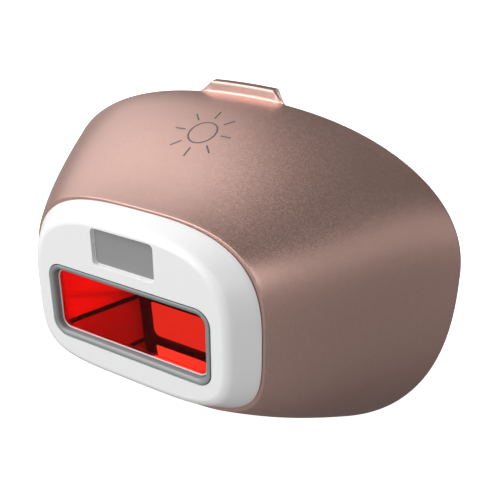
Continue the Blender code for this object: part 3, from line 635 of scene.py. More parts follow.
def flared_loft(board, given):
    """Places a grid's points on a section that grows with depth.

    Each point carries its turn round the section, its depth, its inset into the wall and its lift.
    """

    def carried(name):
        settings = {"data_type": "FLOAT"}
        return board.put("GeometryNodeInputNamedAttribute", settings, {"Name": name})["Attribute"]

    turn, depth, inset, lift = (carried(name) for name in CARRIED)
    run = given["rear_depth"] - given["front_depth"]
    settings = {"operation": "DIVIDE", "use_clamp": True}
    t = board.put("ShaderNodeMath", settings, {0: depth - given["front_depth"], 1: run})[0]
    square, cube = t * t, t * t * t
    section = {}
    for name in SLOPED:
        front, rear = given[f"front_{name}"], given[f"rear_{name}"]
        front_slope = given[f"front_{name}_slope"] * run
        rear_slope = given[f"rear_{name}_slope"] * run
        bend = front * (2 * cube - 3 * square + 1) + rear * (3 * square - 2 * cube)
        section[name] = bend + front_slope * (cube - 2 * square + t) + rear_slope * (cube - square)
    for name in PLAIN:
        front, rear = given[f"front_{name}"], given[f"rear_{name}"]
        section[name] = front + (rear - front) * t
    cosine, sine = board.math("COSINE", turn), board.math("SINE", turn)
    is_upper = sine > 0.0
    is_lower = 1 - is_upper
    exponent = section["upper_squareness"] * is_upper + section["lower_squareness"] * is_lower
    power = 2 / exponent
    upward = section["top"] - section["centre"]
    downward = section["centre"] - section["bottom"]
    reach = upward * is_upper + downward * is_lower - inset

    def spread(wave):
        return board.math("SIGN", wave) * board.math("ABSOLUTE", wave) ** power

    x = (section["half_width"] - inset) * spread(cosine)
    z = section["centre"] + reach * spread(sine) + lift
    place = board.vector(x, depth + FACE_Y, z + AXIS_Z)
    values = {"Geometry": given["Geometry"], "Position": place}
    return board.put("GeometryNodeSetPosition", None, values)[0]


def shell_profile(sizes, tab):
    """The wall's outline as (depth, inset, lift), without the tab and at the tab."""
    front, rear, wall = sizes.front_depth, sizes.rear_depth, sizes.wall
    lip, rim, r = sizes.lip_rounding, sizes.rim_rounding, tab.rounding
    shared = [(front + lip - lip * s, lip - lip * c, 0.0) for s, c in reversed(quarter(5))]
    stop = rear - 4 * r
    shared += [(depth, 0.0, 0.0) for depth in even(front + lip, stop, SIDE_STEPS)]

    back = rear + tab.overhang
    foot = back - tab.thickness
    raised = [(depth, 0.0, 0.0) for depth in even(stop, foot - r, 3)]
    raised += [(foot - r + r * s, 0.0, r - r * c) for s, c in quarter(5, 1)]
    raised += [(foot + r - r * c, 0.0, tab.height - r + r * s) for s, c in quarter(5)]
    raised += [(back - r + r * s, 0.0, tab.height - r + r * c) for s, c in quarter(5)]
    raised += [(back, tab.root - r * 0.6, 0.0), (back - r * 0.3, tab.root, 0.0)]
    raised += [(rear + r * 0.3, tab.root, 0.0), (rear, tab.root + r * 0.3, 0.0)]

    edge = rear - rim
    level_steps = len(raised) - 2 * RIM_STEPS
    plain = [(depth, 0.0, 0.0) for depth in even(stop, edge, level_steps)]
    plain += [(edge + rim * s, rim - rim * c, 0.0) for s, c in quarter(RIM_STEPS, 1)]
    plain += [(rear, inset, 0.0) for inset in even(rim, wall - rim, RIM_STEPS)]

    inside = [(edge + rim * c, wall - rim + rim * s, 0.0) for s, c in quarter(6, 1)]
    inside += [(depth, wall, 0.0) for depth in even(edge, front + lip, INSIDE_STEPS)]
    inside += [(front + lip - lip * s, wall - lip + lip * c, 0.0) for s, c in quarter(4, 1)]
    return shared + plain + inside, shared + raised + inside


def shell_turns(sizes, tab):
    """Directions round the shell, closer together where the tab's ends slope."""
    turns = turns_round(SHELL_TURNS)
    exponent = sizes.rear_upper_squareness / 2
    beyond = 0.6 * MM
    low, high = tab.top_half_width - beyond, tab.base_half_width + beyond
    for x in [low, *even(low, high, SLOPE_STEPS)]:
        angle = math.acos((x / sizes.rear_half_width) ** exponent)
        turns += [angle, math.pi - angle]
    return sorted(turns)


def tab_share(sizes, tab, turn):
    """How much of the tab there is in one direction: 1 on its ridge, 0 beside it."""
    if math.sin(turn) <= 0:
        return 0.0
    x = sizes.rear_half_width * abs(math.cos(turn)) ** (2 / sizes.rear_upper_squareness)
    share = (tab.base_half_width - x) / (tab.base_half_width - tab.top_half_width)
    soft = 0.15  # how far the slope's ends are eased
    share = min(max(share, -soft), 1 + soft)
    eased = (share + soft) / (1 + 2 * soft)
    rounded = eased * eased * (3 - 2 * eased)
    return min(max(between(0.25, share, rounded), 0.0), 1.0)


def shell_grid(sizes, tab):
    """A closed grid whose points carry their turn, depth, inset and lift."""
    turns = shell_turns(sizes, tab)
    shares = [tab_share(sizes, tab, turn) for turn in turns]
    carried = {name: [] for name in CARRIED}
    bm = bmesh.new()
    rows = []
    for level, high in zip(*shell_profile(sizes, tab)):
        row = []
        for turn, share in zip(turns, shares):
            place = [between(share, a, b) for a, b in zip(level, high)]
            for values, value in zip(carried.values(), (turn, *place)):
                values.append(value)
            row.append(bm.verts.new((math.cos(turn), place[0], math.sin(turn))))
        rows.append(row)
    for near, far in zip(rows, rows[1:] + rows[:1]):
        for i, vertex in enumerate(near):
            j = (i + 1) % len(near)
            bm.faces.new((vertex, far[i], far[j], near[j]))
    mesh = bpy.data.meshes.new("shell_grid")
    bm.to_mesh(mesh)
    bm.free()
    for name, values in carried.items():
        mesh.attributes.new(name, "FLOAT", "POINT").data.foreach_set("value", values)
    return mesh


# --- materials ---


def finish(name, build):
    """A material whose surface is one Principled shader that the build function feeds."""
    material = bpy.data.materials.new(name)
    material.use_nodes = True
    board = emptied(material.node_tree)
    place = board.put("ShaderNodeTexCoord")["Object"]
    surface = board.put("ShaderNodeBsdfPrincipled", None, build(board, place))[0]
    board.put("ShaderNodeOutputMaterial", None, {"Surface": surface})
    return material


def cells(board, place, scale):
    """A random value for each small cell of a surface."""
    values = {"Vector": place, "Scale": scale}
    cell = board.put("ShaderNodeTexVoronoi", {"feature": "F1"}, values)["Color"]
    return board.put("ShaderNodeSeparateColor", None, {"Color": cell})[0]


def lacquer(board, place):
    """Rose-gold metallic lacquer: bright flakes in a tinted base under a clear coat."""
    looks = bpy.context.scene.head_finishes
    flake = cells(board, place, 8000.0)
    sparkle = flake**5.0
    cloud = board.noise(place, 900.0, 3.0)
    tone = sparkle * 0.20 + (cloud - 0.5) * 0.10 + 0.08
    return {
        "Base Color": board.blend(tone, looks.lacquer, looks.flake),
        "Metallic": 0.82,
        "Roughness": 0.36 + flake * 0.12,
        "Coat Weight": 0.18,
        "Coat Roughness": 0.28,
        "Normal": board.bump(flake + cloud, 0.02, 0.00003),
    }


def moulding(tint, roughness, scale, strength, spread=0.05, shine=0.5):
    """A moulded plastic with a fine texture and slightly uneven gloss."""

    def build(board, place):
        grain = board.noise(place, scale, 3.0)
        cloud = board.noise(place, scale / 12, 2.0)
        darker = tuple(channel * (1 - spread) for channel in tint)
        return {
            "Base Color": board.blend(cloud, darker, tint),
            "Roughness": roughness + (cloud - 0.5) * 0.08,
            "Specular IOR Level": shine,
            "Normal": board.bump(grain, strength, 0.00003),
        }

    return build


def metal(tint, roughness, scale, strength, across=1.0, metallic=1.0):
    """A metal with blasted or drawn texture. Across above 1 draws it out along the head's width."""

    def build(board, place):
        values = {"Vector": place, "Scale": (1.0 / across, 1.0, 1.0)}
        drawn = board.put("ShaderNodeMapping", None, values)[0]
        grain = board.noise(drawn, scale, 3.0)
        darker = tuple(channel * 0.92 for channel in tint)
        return {
            "Base Color": board.blend(grain, darker, tint),
            "Metallic": metallic,
            "Roughness": roughness + (grain - 0.5) * 0.12,
            "Normal": board.bump(grain, strength, 0.00002),
        }

    return build


def red_glass(board, place):
    looks = bpy.context.scene.head_finishes
    streak = board.noise(place, 60.0, 1.0)
    deeper = tuple(channel * 0.93 for channel in looks.red)
    return {
        "Base Color": board.blend(streak, deeper, looks.red),
        "Roughness": 0.0,
        "IOR": 1.15,
        "Transmission Weight": 1.0,
    }


def sensor_plate(board, place):
    """Grey-tinted clear plastic over a dark cavity."""
    looks = bpy.context.scene.head_finishes
    cloud = board.noise(place, 260.0, 2.0)
    darker = tuple(channel * 0.92 for channel in looks.window)
    return {
        "Base Color": board.blend(cloud, darker, looks.window),
        "Roughness": 0.16 + cloud * 0.05,
        "Coat Weight": 0.6,
        "Coat Roughness": 0.04,
        "Normal": board.bump(board.noise(place, 2500.0, 2.0), 0.02, 0.00002),
    }


def circuit_board(board, place):
    """Solder mask with raised tracks."""
    looks = bpy.context.scene.head_finishes
    values = {"Vector": place, "Scale": 180.0, "Distortion": 6.0, "Detail": 1.0}
    wave = board.put("ShaderNodeTexWave", {"bands_direction": "X"}, values)["Fac"]
    stops = {"stops": [(0.60, 0.0), (0.66, 1.0)]}
    track = board.put("ShaderNodeValToRGB", stops, {"Fac": wave})["Color"]
    lighter = tuple(min(channel * 2.2, 1.0) for channel in looks.board)
    amount = board.put("ShaderNodeSeparateColor", None, {"Color": track})[0]
    return {
        "Base Color": board.blend(amount * 0.6, looks.board, lighter),
        "Roughness": 0.42 - amount * 0.08,
        "Normal": board.bump(amount, 0.15, 0.00003),
    }


def lead_film(board, place):
    """Amber film with copper tracks showing through along its length."""
    looks = bpy.context.scene.head_finishes
    values = {"Vector": place, "Scale": 330.0, "Distortion": 0.0}
    wave = board.put("ShaderNodeTexWave", {"bands_direction": "X"}, values)["Fac"]
    brighter = tuple(min(channel * 1.8, 1.0) for channel in looks.film)
    return {
        "Base Color": board.blend(wave, looks.film, brighter),
        "Roughness": 0.30 - wave * 0.06,
        "Normal": board.bump(wave, 0.10, 0.00002),
    }


def make_finishes():
    looks = bpy.context.scene.head_finishes
    recipes = {
        "rose_gold_lacquer": lacquer,
        "white_moulding": moulding(tuple(looks.white), 0.34, 5200.0, 0.05, 0.015),
        "satin_metal": metal(tuple(looks.frame_metal), 0.50, 9000.0, 0.08, metallic=0.25),
        "filter_red": red_glass,
        "mirror_sheet": metal(tuple(looks.mirror), 0.07, 700.0, 0.01, 6.0),
        "satin_reflector": metal(tuple(looks.mirror), 0.12, 700.0, 0.02, 6.0, 0.55),
        "sensor_tint": sensor_plate,
        "black_moulding": moulding(tuple(looks.black), 0.55, 4200.0, 0.16, 0.2),
        "box_black": moulding(tuple(looks.black), 0.60, 4200.0, 0.10, 0.2, 0.1),
        "grey_moulding": moulding(tuple(looks.grey), 0.52, 3800.0, 0.16, 0.12),
        "silicone": moulding(tuple(looks.silicone), 0.68, 2600.0, 0.10, 0.15),
        "mask_green": circuit_board,
        "film_amber": lead_film,
        "gold_plate": metal(tuple(looks.gold), 0.22, 5000.0, 0.05),
        "bright_steel": metal(tuple(looks.steel), 0.28, 3000.0, 0.08, 8.0),
        "resin_clear": moulding(tuple(looks.resin), 0.18, 1500.0, 0.03, 0.10),
        "clear_bead": moulding((0.62, 0.62, 0.62), 0.25, 2600.0, 0.05, 0.05),
        "printed_mark": moulding(tuple(looks.mark), 0.50, 6000.0, 0.08, 0.10),
    }
    return {name: finish(name, recipe) for name, recipe in recipes.items()}


def look(name):
    return bpy.data.materials[name]


# --- geometry trees for what repeats or follows a path ---


def bar_along(board, curve, radius, around):
    """A solid round bar along a curve."""
    values = {"Resolution": around, "Radius": radius}
    profile = board.put("GeometryNodeCurvePrimitiveCircle", None, values)["Curve"]
    return swept(board, curve, profile)


def swept(board, curve, profile):
    values = {"Curve": curve, "Profile Curve": profile, "Fill Caps": True}
    return board.put("GeometryNodeCurveToMesh", None, values)[0]


def on_points(board, points, shape, turn=None):
    values = {"Points": points, "Instance": shape, "Rotation": turn}
    return board.put("GeometryNodeInstanceOnPoints", None, values)[0]


def swept_lines(board, given):
    """Sweeps a rounded bar along every line of the mesh."""
    lines = board.put("GeometryNodeMeshToCurve", None, {"Mesh": given["Geometry"]})[0]
    return bar_along(board, lines, given["Radius"], 10)


def coils_on_points(board, given):
    """Puts a coil spring, wound along the depth, on every point of the mesh."""
    values = {"Resolution": 24, "Rotations": given["Turns"], "Height": given["Length"]}
    values.update({"Start Radius": given["Radius"], "End Radius": given["Radius"]})
    spiral = board.put("GeometryNodeCurveSpiral", None, values)[0]
    coil = bar_along(board, spiral, given["Wire"], 8)
    values = {"Geometry": coil, "Rotation": (-math.pi / 2, 0.0, 0.0)}
    laid = board.put("GeometryNodeTransform", None, values)[0]
    return on_points(board, given["Geometry"], laid)


def copies_on_points(board, given):
    """Puts a pattern piece on every point, each turned about the depth by its own amount."""
    pattern = board.put("GeometryNodeObjectInfo", None, {"Object": given["Pattern"]})["Geometry"]
    values = {2: 0.0, 3: given["Largest turn"], "Seed": 7}
    turn = board.put("FunctionNodeRandomValue", {"data_type": "FLOAT"}, values)[1]
    return on_points(board, given["Geometry"], pattern, board.vector(0.0, turn, 0.0))


def pads_in_a_row(board, given):
    """A row of flat pads with rounded corners, centred on each point of the mesh."""
    step = board.vector(given["Pitch"], 0.0, 0.0)
    first = board.vector(given["Pitch"] * (1 - given["Count"]) * 0.5, 0.0, 0.0)
    values = {"Count": given["Count"], "Start Location": first, "Offset": step}
    row = board.put("GeometryNodeMeshLine", {"mode": "OFFSET"}, values)[0]
    values = {"Width": given["Width"], "Height": given["Height"]}
    outline = board.put("GeometryNodeCurvePrimitiveQuadrilateral", None, values)[0]
    values = {"Curve": outline, "Radius": given["Corner"], "Count": 5}
    rounded = board.put("GeometryNodeFilletCurve", {"mode": "POLY"}, values)[0]
    values = {"Start": (0.0, 0.0, 0.0), "End": board.vector(0.0, given["Thickness"], 0.0)}
    line = board.put("GeometryNodeCurvePrimitiveLine", None, values)[0]
    pads = on_points(board, row, swept(board, line, rounded))
    return on_points(board, given["Geometry"], pads)


def points_mesh(points, lines=()):
    mesh = bpy.data.meshes.new("points")
    mesh.from_pydata([tuple(p) for p in points], list(lines), [])
    return mesh


def paths_mesh(paths):
    """A mesh of open lines, one for each path. A path whose ends meet is closed."""
    points, lines = [], []
    for path in paths:
        start = len(points)
        closed = (path[0] - path[-1]).length < 1e-9
        kept = path[:-1] if closed else path
        points += kept
        lines += [(start + i, start + i + 1) for i in range(len(kept) - 1)]
        if closed:
            lines.append((start + len(kept) - 1, start))
    return points_mesh(points, lines)


# --- operators ---


class HEAD_OT_finishes(bpy.types.Operator):
    """Make the materials and give the carried-over nodes theirs"""

    bl_idname = "head.finishes"
    bl_label = "Finishes"

    def execute(self, context):
        make_finishes()
        of_slot = {
            "shell_lacquer": "rose_gold_lacquer",
            "white_plastic": "white_moulding",
            "frame_metal": "satin_metal",
            "filter_glass": "filter_red",
            "mirror_sheet": "mirror_sheet",
            "sensor_window": "sensor_tint",
            "black_plastic": "black_moulding",
            "grey_plastic": "grey_moulding",
            "silicone": "silicone",
            "circuit_board": "mask_green",
            "polyimide": "film_amber",
            "gold_contact": "gold_plate",
            "steel": "bright_steel",
            "led_resin": "resin_clear",
        }
        for row in frame["record"]["subparts"]:
            paint(row["node"], look(of_slot[row["material_slot"]]))
        return {"FINISHED"}


class HEAD_OT_shell(bpy.types.Operator):
    """Make the flared shell with its rounded edges and the pull tab"""

    bl_idname = "head.shell"
    bl_label = "Shell"

    def execute(self, context):
        sizes, tab = context.scene.head_shell, context.scene.head_tab
        measures = ("depth", *SLOPED, *PLAIN, *(f"{name}_slope" for name in SLOPED))
        keys = [f"{end}_{name}" for end in SHELL_ENDS for name in measures]
        tree = geometry_tree("flared_loft", dict.fromkeys(keys, "Float"), flared_loft)
        values = {key: getattr(sizes, key) for key in keys}
        shell = grow("shell", shell_grid(sizes, tab), tree, look("rose_gold_lacquer"), **values)
        settle(shell, HOUSING, "shell_lacquer", "housing_shell")
        return {"FINISHED"}


class HEAD_OT_mark(bpy.types.Operator):
    """Print a plain sun on top of the shell: a ring and its rays"""

    bl_idname = "head.mark"
    bl_label = "Mark"

    def execute(self, context):
        sizes, mark = context.scene.head_shell, context.scene.head_mark
        sunk = mark.stroke * 0.36

        def on_shell(radius, angle):
            x = radius * math.cos(angle)
            return top_point(sizes, x, mark.depth + radius * math.sin(angle), sunk)

        ring = [*turns_round(RING_STEPS), 2 * math.pi]
        paths = [[on_shell(mark.ring_radius, angle) for angle in ring]]
        reaches = [mark.ray_start, *even(mark.ray_start, mark.ray_end, 8)]
        paths += [[on_shell(reach, angle) for reach in reaches] for angle in turns_round(mark.rays)]
        tree = geometry_tree("swept_lines", {"Radius": "Float"}, swept_lines)
        ink, radius = look("printed_mark"), mark.stroke / 2
        printed = grow("sun_mark", paths_mesh(paths), tree, ink, Radius=radius)
        settle(printed, HOUSING, "shell_lacquer")
        return {"FINISHED"}


class HEAD_OT_bezel(bpy.types.Operator):
    """Make the white bezel with its window and sensor opening"""

    bl_idname = "head.bezel"
    bl_label = "Bezel"

    def execute(self, context):
        bezel, shell = context.scene.head_bezel, context.scene.head_shell
        turns = turns_round(BEZEL_TURNS)
        front = shell.front_depth

        def flank_ring(depth, inset):
            section = flank_section(bezel, depth / front)
            return [section_point(section, turn, depth, inset) for turn in turns]

        def skirt_ring(depth, inset, section_depth):
            section = shell_section(shell, section_depth)
            return [section_point(section, turn, depth, inset) for turn in turns]

        rounding, small = bezel.rounding, bezel.rear_edge
        back = front - bezel.seam
        level = back - small
        rings = [flank_ring(depth, inset) for inset, depth in arc(rounding, 8)]
        rings += [flank_ring(depth, 0.0) for depth in even(rounding, level, 5)]
        rings += [flank_ring(level + small * s, small - small * c) for s, c in quarter(3, 1)]
        end, outer = bezel.skirt_end, bezel.skirt_inset
        inner = outer + bezel.skirt_wall
        rings += [
            skirt_ring(back, outer, front),
            skirt_ring(end - small, outer, end - small),
            skirt_ring(end, outer + small, end),
            skirt_ring(end, inner, end),
            skirt_ring(front, inner, front),
            skirt_ring(bezel.plate, inner, front),
        ]
        piece = show("bezel", to_mesh(loft(rings), "bezel", look("white_moulding")))
        for half, corner, middle in self.openings(context.scene.head_frame, bezel):
            profile = [(-BEYOND, bezel.edge)]
            profile += [(depth, out) for out, depth in arc(bezel.edge, 5)]
            profile.append((bezel.plate + BEYOND, 0.0))
            tool_mesh = to_mesh(loft(outline_rings(profile, half, corner, middle)), "opening")
            cut(piece, show("opening", tool_mesh))
        even_normals(piece)
        settle(piece, HOUSING, "white_plastic", "front_bezel")
        return {"FINISHED"}

    def openings(self, rim, bezel):
        """The half sizes, corner and middle of the window and of the sensor's opening."""
        window = (rim.half_width + rim.gap, rim.half_height + rim.gap)
        sensor = (SENSOR_HALF_WIDTH + SENSOR_GAP, half_of("sensor_window")[1] + SENSOR_GAP)
        sensor_middle = (0.0, middle_of("sensor_window")[1])
        return (
            (window, rim.corner + rim.gap, (0.0, 0.0)),
            (sensor, bezel.sensor_corner, sensor_middle),
        )


class HEAD_OT_contact_frame(bpy.types.Operator):
    """Make the metal contact frame with its flange, ears and toes"""

    bl_idname = "head.contact_frame"
    bl_label = "Contact frame"

    def execute(self, context):
        rim = context.scene.head_frame
        edge, wall = rim.edge, rim.wall
        flange, back, lip = rim.flange_front, rim.flange_rear, rim.flange_lip
        profile = [(flange, 0.0)]
        profile += [(-PROUD + along, -across) for along, across in arc(edge, 5)]
        profile += [(-PROUD + across, -wall + along) for along, across in arc(rim.inner_edge, 5)]
        profile += [(back, -wall), (back, lip - edge), (back - edge, lip)]
        profile += [(flange + edge, lip), (flange, lip - edge)]
        half = (rim.half_width, rim.half_height)
        rings = outline_rings(profile, half, rim.corner)
        mesh = to_mesh(loft(rings, closed=True), "contact_rim", look("satin_metal"))
        piece = show("contact_rim", mesh)
        middle = (flange + back) / 2
        thin = (back - flange) / 2 - 0.05 * MM
        ear, ear_corner = (1.2 * MM, 1.2 * MM), 1.15 * MM
        plates = [(middle_of(node), ear, ear_corner) for node in numbered("return_spring", 4)]
        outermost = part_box("contact_frame")[1].x
        toe, toe_corner = ((outermost - rim.half_width) / 2, 1.9 * MM), 0.4 * MM
        plates += [((side * (outermost - toe[0]), 0.0), toe, toe_corner) for side in (-1, 1)]
        sides = [(middle - thin, 0.0), (middle + thin, 0.0)]
        for place, size, corner in plates:
            outline = outline_rings(sides, size, corner, place)
            cut(piece, show("ear", to_mesh(loft(outline), "ear")), "UNION")
        through = [(-PROUD - BEYOND, -wall), (back + BEYOND, -wall)]
        bore = outline_rings(through, half, rim.corner)
        cut(piece, show("bore", to_mesh(loft(bore), "bore")))
        even_normals(piece)
        settle(piece, "contact_frame", "frame_metal", "contact_frame")
        return {"FINISHED"}


def plate_like(name, node, material, corner, edge, thickness):
    """A plate with rounded corners and edges, behind the front of a node."""
    front = depths_of(node)[0]
    profile = plate_profile(front, front + thickness, edge)
    rings = outline_rings(profile, half_of(node), corner, middle_of(node))
    piece = show(name, to_mesh(loft(rings), name, look(material)))
    even_normals(piece)
    return piece


def slab(near, far, push):
    """A thin closed plate: a quadrilateral's near and far edges, thickened by a push."""
    face = [*near, *reversed(far)]
    return loft([face, [point + push for point in face]])


def make_mirrors(front):
    """The light box: four sheets that close in towards the far end, open at their seams."""
    box = bpy.context.scene.head_box
    ends = (
        (front, box.front_half_width, box.front_half_height),
        (depths_of("mirror_left")[1], box.rear_half_width, box.rear_half_height),
    )
    sheets = (
        ("left", "satin_reflector", -1, 0),
        ("right", "satin_reflector", 1, 0),
        ("bottom", "mirror_sheet", 0, -1),
        ("top", "mirror_sheet", 0, 1),
    )
    for name, material, side, rise in sheets:
        edges = []
        for depth, width, height in ends:
            if side:
                upright = height - box.seam
                edges.append([at(side * width, depth, way * upright) for way in (-1, 1)])
            else:
                edges.append([at(way * width, depth, rise * height) for way in (-1, 1)])
        push = Vector((side, 0, rise)) * box.thickness
        sheet = show(f"reflector_{name}", to_mesh(slab(*edges, push), name, look(material)))
        settle(sheet, HOUSING, "mirror_sheet", f"mirror_{name}")


class HEAD_OT_optics(bpy.types.Operator):
    """Make the filter glass, the bead that holds it and the light box's dark rear frame"""

    bl_idname = "head.optics"
    bl_label = "Glass and light box"

    def execute(self, context):
        rim, box = context.scene.head_frame, context.scene.head_box
        corner, edge = rim.corner - rim.wall - rim.gap, 0.08 * MM
        glass = plate_like("red_filter", "filter_glass", "filter_red", corner, edge, box.glass)
        settle(glass, HOUSING, "filter_glass", "filter_glass")
        half = (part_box("filter_glass")[1].x, half_of("filter_glass")[1])
        front = depths_of("filter_glass")[0]
        rear = front + box.glass
        inner, outer, crown = 0.02 * MM, rim.gap + 0.10 * MM, 0.06 * MM
        profile = [(front, outer), (front - crown, (inner + outer) / 2), (front, inner)]
        profile += [(rear, inner), (rear, outer)]
        rings = outline_rings(profile, half, corner)
        bead_mesh = to_mesh(loft(rings, closed=True), "glass_bead", look("clear_bead"))
        settle(show("glass_bead", bead_mesh), HOUSING, "silicone", "glass_gasket")
        make_mirrors(rear + 0.05 * MM)
        carrier = softened("light_box_carrier", "mirror_carrier", look("box_black"), 0.12 * MM)
        settle(carrier, HOUSING, "black_plastic", "mirror_carrier")
        return {"FINISHED"}


class HEAD_OT_sensor(bpy.types.Operator):
    """Make the sensor's tinted plate and the white trim round it"""

    bl_idname = "head.sensor"
    bl_label = "Sensor"

    def execute(self, context):
        # Make the sensor's tinted plate and a white ring round it, a painted highlight along the
        # plate's edge
        node = "sensor_window"
        piece = softened("sensor_plate", node, look("sensor_tint"), 0.06 * MM, 3)
        upright, middle = half_of(node)[1], (0.0, middle_of(node)[1])
        for vertex in piece.data.vertices:
            if vertex.co.y < FACE_Y + context.scene.head_bezel.plate:
                vertex.co.x *= 1 + SENSOR_SPREAD / SENSOR_HALF_WIDTH
                from_middle = vertex.co.z - middle[1] - AXIS_Z
                vertex.co.z += from_middle * SENSOR_SPREAD / upright
        settle(piece, HOUSING, "sensor_window", node)
        # A white ring in the gap round the plate is a painted highlight along the plate's edge. It
        # stands a little off the bezel's opening.
        front = depths_of(node)[0]
        rear, corner = front + 1.2 * MM, 0.35 * MM
        trim, inner, outer = 0.03 * MM, SENSOR_SPREAD + 0.03 * MM, SENSOR_GAP - 0.04 * MM
        profile = [(front + trim, outer), (front, outer - trim), (front, inner + trim)]
        profile += [(front + trim, inner), (rear, inner), (rear, outer)]
        rings = outline_rings(profile, (SENSOR_HALF_WIDTH, upright), corner, middle)
        ring = show("sensor_trim", to_mesh(loft(rings, True), "trim", look("white_moulding")))
        settle(ring, HOUSING, "white_plastic")
        return {"FINISHED"}


class HEAD_OT_springs(bpy.types.Operator):
    """Make the four return springs for the contact frame"""

    bl_idname = "head.springs"
    bl_label = "Return springs"

    def execute(self, context):
        nodes = numbered("return_spring", 4)
        wire = 0.15 * MM
        boxes = [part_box(node) for node in nodes]
        places = [((lo.x + hi.x) / 2, lo.y + wire, (lo.z + hi.z) / 2) for lo, hi in boxes]
        low, high = boxes[0]
        length_all = high.y - low.y
        sizes = {
            "Radius": half_of(nodes[0])[0] - wire, "Wire": wire,
            "Length": length_all - 2 * wire, "Turns": 4.0,
        }
        tree = geometry_tree("coils_on_points", dict.fromkeys(sizes, "Float"), coils_on_points)
        steel = look("bright_steel")
        piece = grow("return_springs", points_mesh(places), tree, steel, **sizes)
        settle(piece, HOUSING, "steel", *nodes)
        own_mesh(piece)
        return {"FINISHED"}


def screw_profile(head, length_all):
    """A screw's outline as (depth, radius, how far it is a hexagon), from its key's end."""
    shank, core, pitch = 0.9 * MM, 0.74 * MM, 0.45 * MM
    head_height, soft = 1.0 * MM, 0.18 * MM
    key, socket = 0.80 * MM, 0.6 * MM
    profile = [(-socket, 0.02 * MM, 1), (-socket, key, 1), (-0.06 * MM, key, 1)]
    profile += [(0.0, key + 0.1 * MM, 0.5), (0.0, head - soft, 0)]
    profile += [(-soft * 0.3, head - soft * 0.3, 0), (-soft, head, 0)]
    profile += [(-head_height, head, 0), (-head_height - 0.05 * MM, shank, 0)]
    place = head_height + pitch
    while place < length_all - 2 * pitch:
        profile += [(-place, core, 0), (-place - pitch / 2, shank, 0)]
        place += pitch
    return profile + [(-length_all + 0.2 * MM, core, 0), (-length_all, 0.25 * MM, 0)]


class HEAD_OT_screws(bpy.types.Operator):
    """Make the four screws with rolled heads, hexagon sockets and threads"""

    bl_idname = "head.screws"
    bl_label = "Screws"

    def execute(self, context):
        nodes = numbered("plate_screw", 4)
        boxes = [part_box(node) for node in nodes]
        places = [((lo.x + hi.x) / 2, hi.y, (lo.z + hi.z) / 2) for lo, hi in boxes]
        low, high = boxes[0]
        sixth = math.pi / 3
        rings = []
        for depth, radius, hexness in screw_profile(half_of(nodes[0])[0], high.y - low.y):
            ring = []
            for angle in turns_round(48):
                hexagon = radius / math.cos(angle % sixth - sixth / 2)
                reach = between(hexness, radius, hexagon)
                ring.append((reach * math.cos(angle), depth, reach * math.sin(angle)))
            rings.append(ring)
        pattern = show("screw_pattern", to_mesh(loft(rings), "screw_pattern"))
        kinds = {"Pattern": "Object", "Largest turn": "Float"}
        tree = geometry_tree("copies_on_points", kinds, copies_on_points)
        values = {"Pattern": pattern, "Largest_turn": sixth}
        piece = grow("plate_screws", points_mesh(places), tree, look("bright_steel"), **values)
        bpy.data.objects.remove(pattern)
        settle(piece, HOUSING, "steel", *nodes)
        return {"FINISHED"}


class HEAD_OT_contacts(bpy.types.Operator):
    """Make the contact block and its row of gold pads"""

    bl_idname = "head.contacts"
    bl_label = "Contacts"

    def execute(self, context):
        nodes = numbered("contact_pad", 6)
        low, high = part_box(nodes[0])
        sizes = {
            "Pitch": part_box(nodes[1])[0].x - low.x, "Width": high.x - low.x,
            "Height": high.z - low.z, "Thickness": high.y - low.y, "Corner": 0.3 * MM,
        }
        kinds = {"Count": "Int", **dict.fromkeys(sizes, "Float")}
        tree = geometry_tree("pads_in_a_row", kinds, pads_in_a_row)
        middle = points_mesh([(0.0, low.y, (low.z + high.z) / 2)])
        gold = look("gold_plate")
        piece = grow("contact_pads", middle, tree, gold, Count=len(nodes), **sizes)
        settle(piece, HOUSING, "gold_contact", *nodes)
        block = softened("contact_carrier", "contact_block", look("black_moulding"), 0.12 * MM)
        settle(block, HOUSING, "black_plastic", "contact_block")
        return {"FINISHED"}


class HEAD_OT_socket(bpy.types.Operator):
    """Make the coupling plate and the guide ribs on the socket's wall"""

    bl_idname = "head.socket"
    bl_label = "Handset socket"

    def execute(self, context):
        shell = context.scene.head_shell
        grey = look("grey_moulding")
        plate = softened("socket_plate", "coupling_plate", grey, 0.15 * MM)
        settle(plate, HOUSING, "grey_plastic", "coupling_plate")
        start, end = depths_of("coupling_plate")[1] + 0.4 * MM, shell.rear_depth - 1.6 * MM
        radius = 0.55 * MM
        inset = shell.wall + radius * 0.3
        depths = [start, *even(start, end, 8)]
        sections = [(shell_section(shell, depth), depth) for depth in depths]
        turns = [math.radians(angle) for angle in (28, 58, 122, 152, 208, 238, 270, 302, 332)]
        paths = [
            [section_point(section, turn, depth, inset) for section, depth in sections]
            for turn in turns
        ]
        tree = bpy.data.node_groups["swept_lines"]
        ribs = grow("guide_ribs", paths_mesh(paths), tree, grey, Radius=radius)
        settle(ribs, HOUSING, "grey_plastic")
        return {"FINISHED"}


class HEAD_OT_latches(bpy.types.Operator):
    """Make the two snap latches"""

    bl_idname = "head.latches"
    bl_label = "Snap latches"

    def execute(self, context):
        for side in ("left", "right"):
            node = f"snap_latch_{side}"
            piece = softened(f"latch_{side}", node, look("black_moulding"), 0.15 * MM, 3)
            settle(piece, node, "black_plastic", node)
        return {"FINISHED"}


def pale_floor(stage):
    material = bpy.data.materials.new("pale_floor")
    material.use_nodes = True
    board = emptied(material.node_tree)
    seen = board.seen_directly()
    paler = board.blend(seen, stage.floor_shade, stage.floor_colour)
    matt = board.put("ShaderNodeBsdfDiffuse", None, {"Color": paler})[0]
    lift = board.put("ShaderNodeEmission", None, {"Strength": seen * stage.floor_lift})[0]
    both = board.put("ShaderNodeAddShader", None, {0: matt, 1: lift})[0]
    board.put("ShaderNodeOutputMaterial", None, {"Surface": both})
    return material


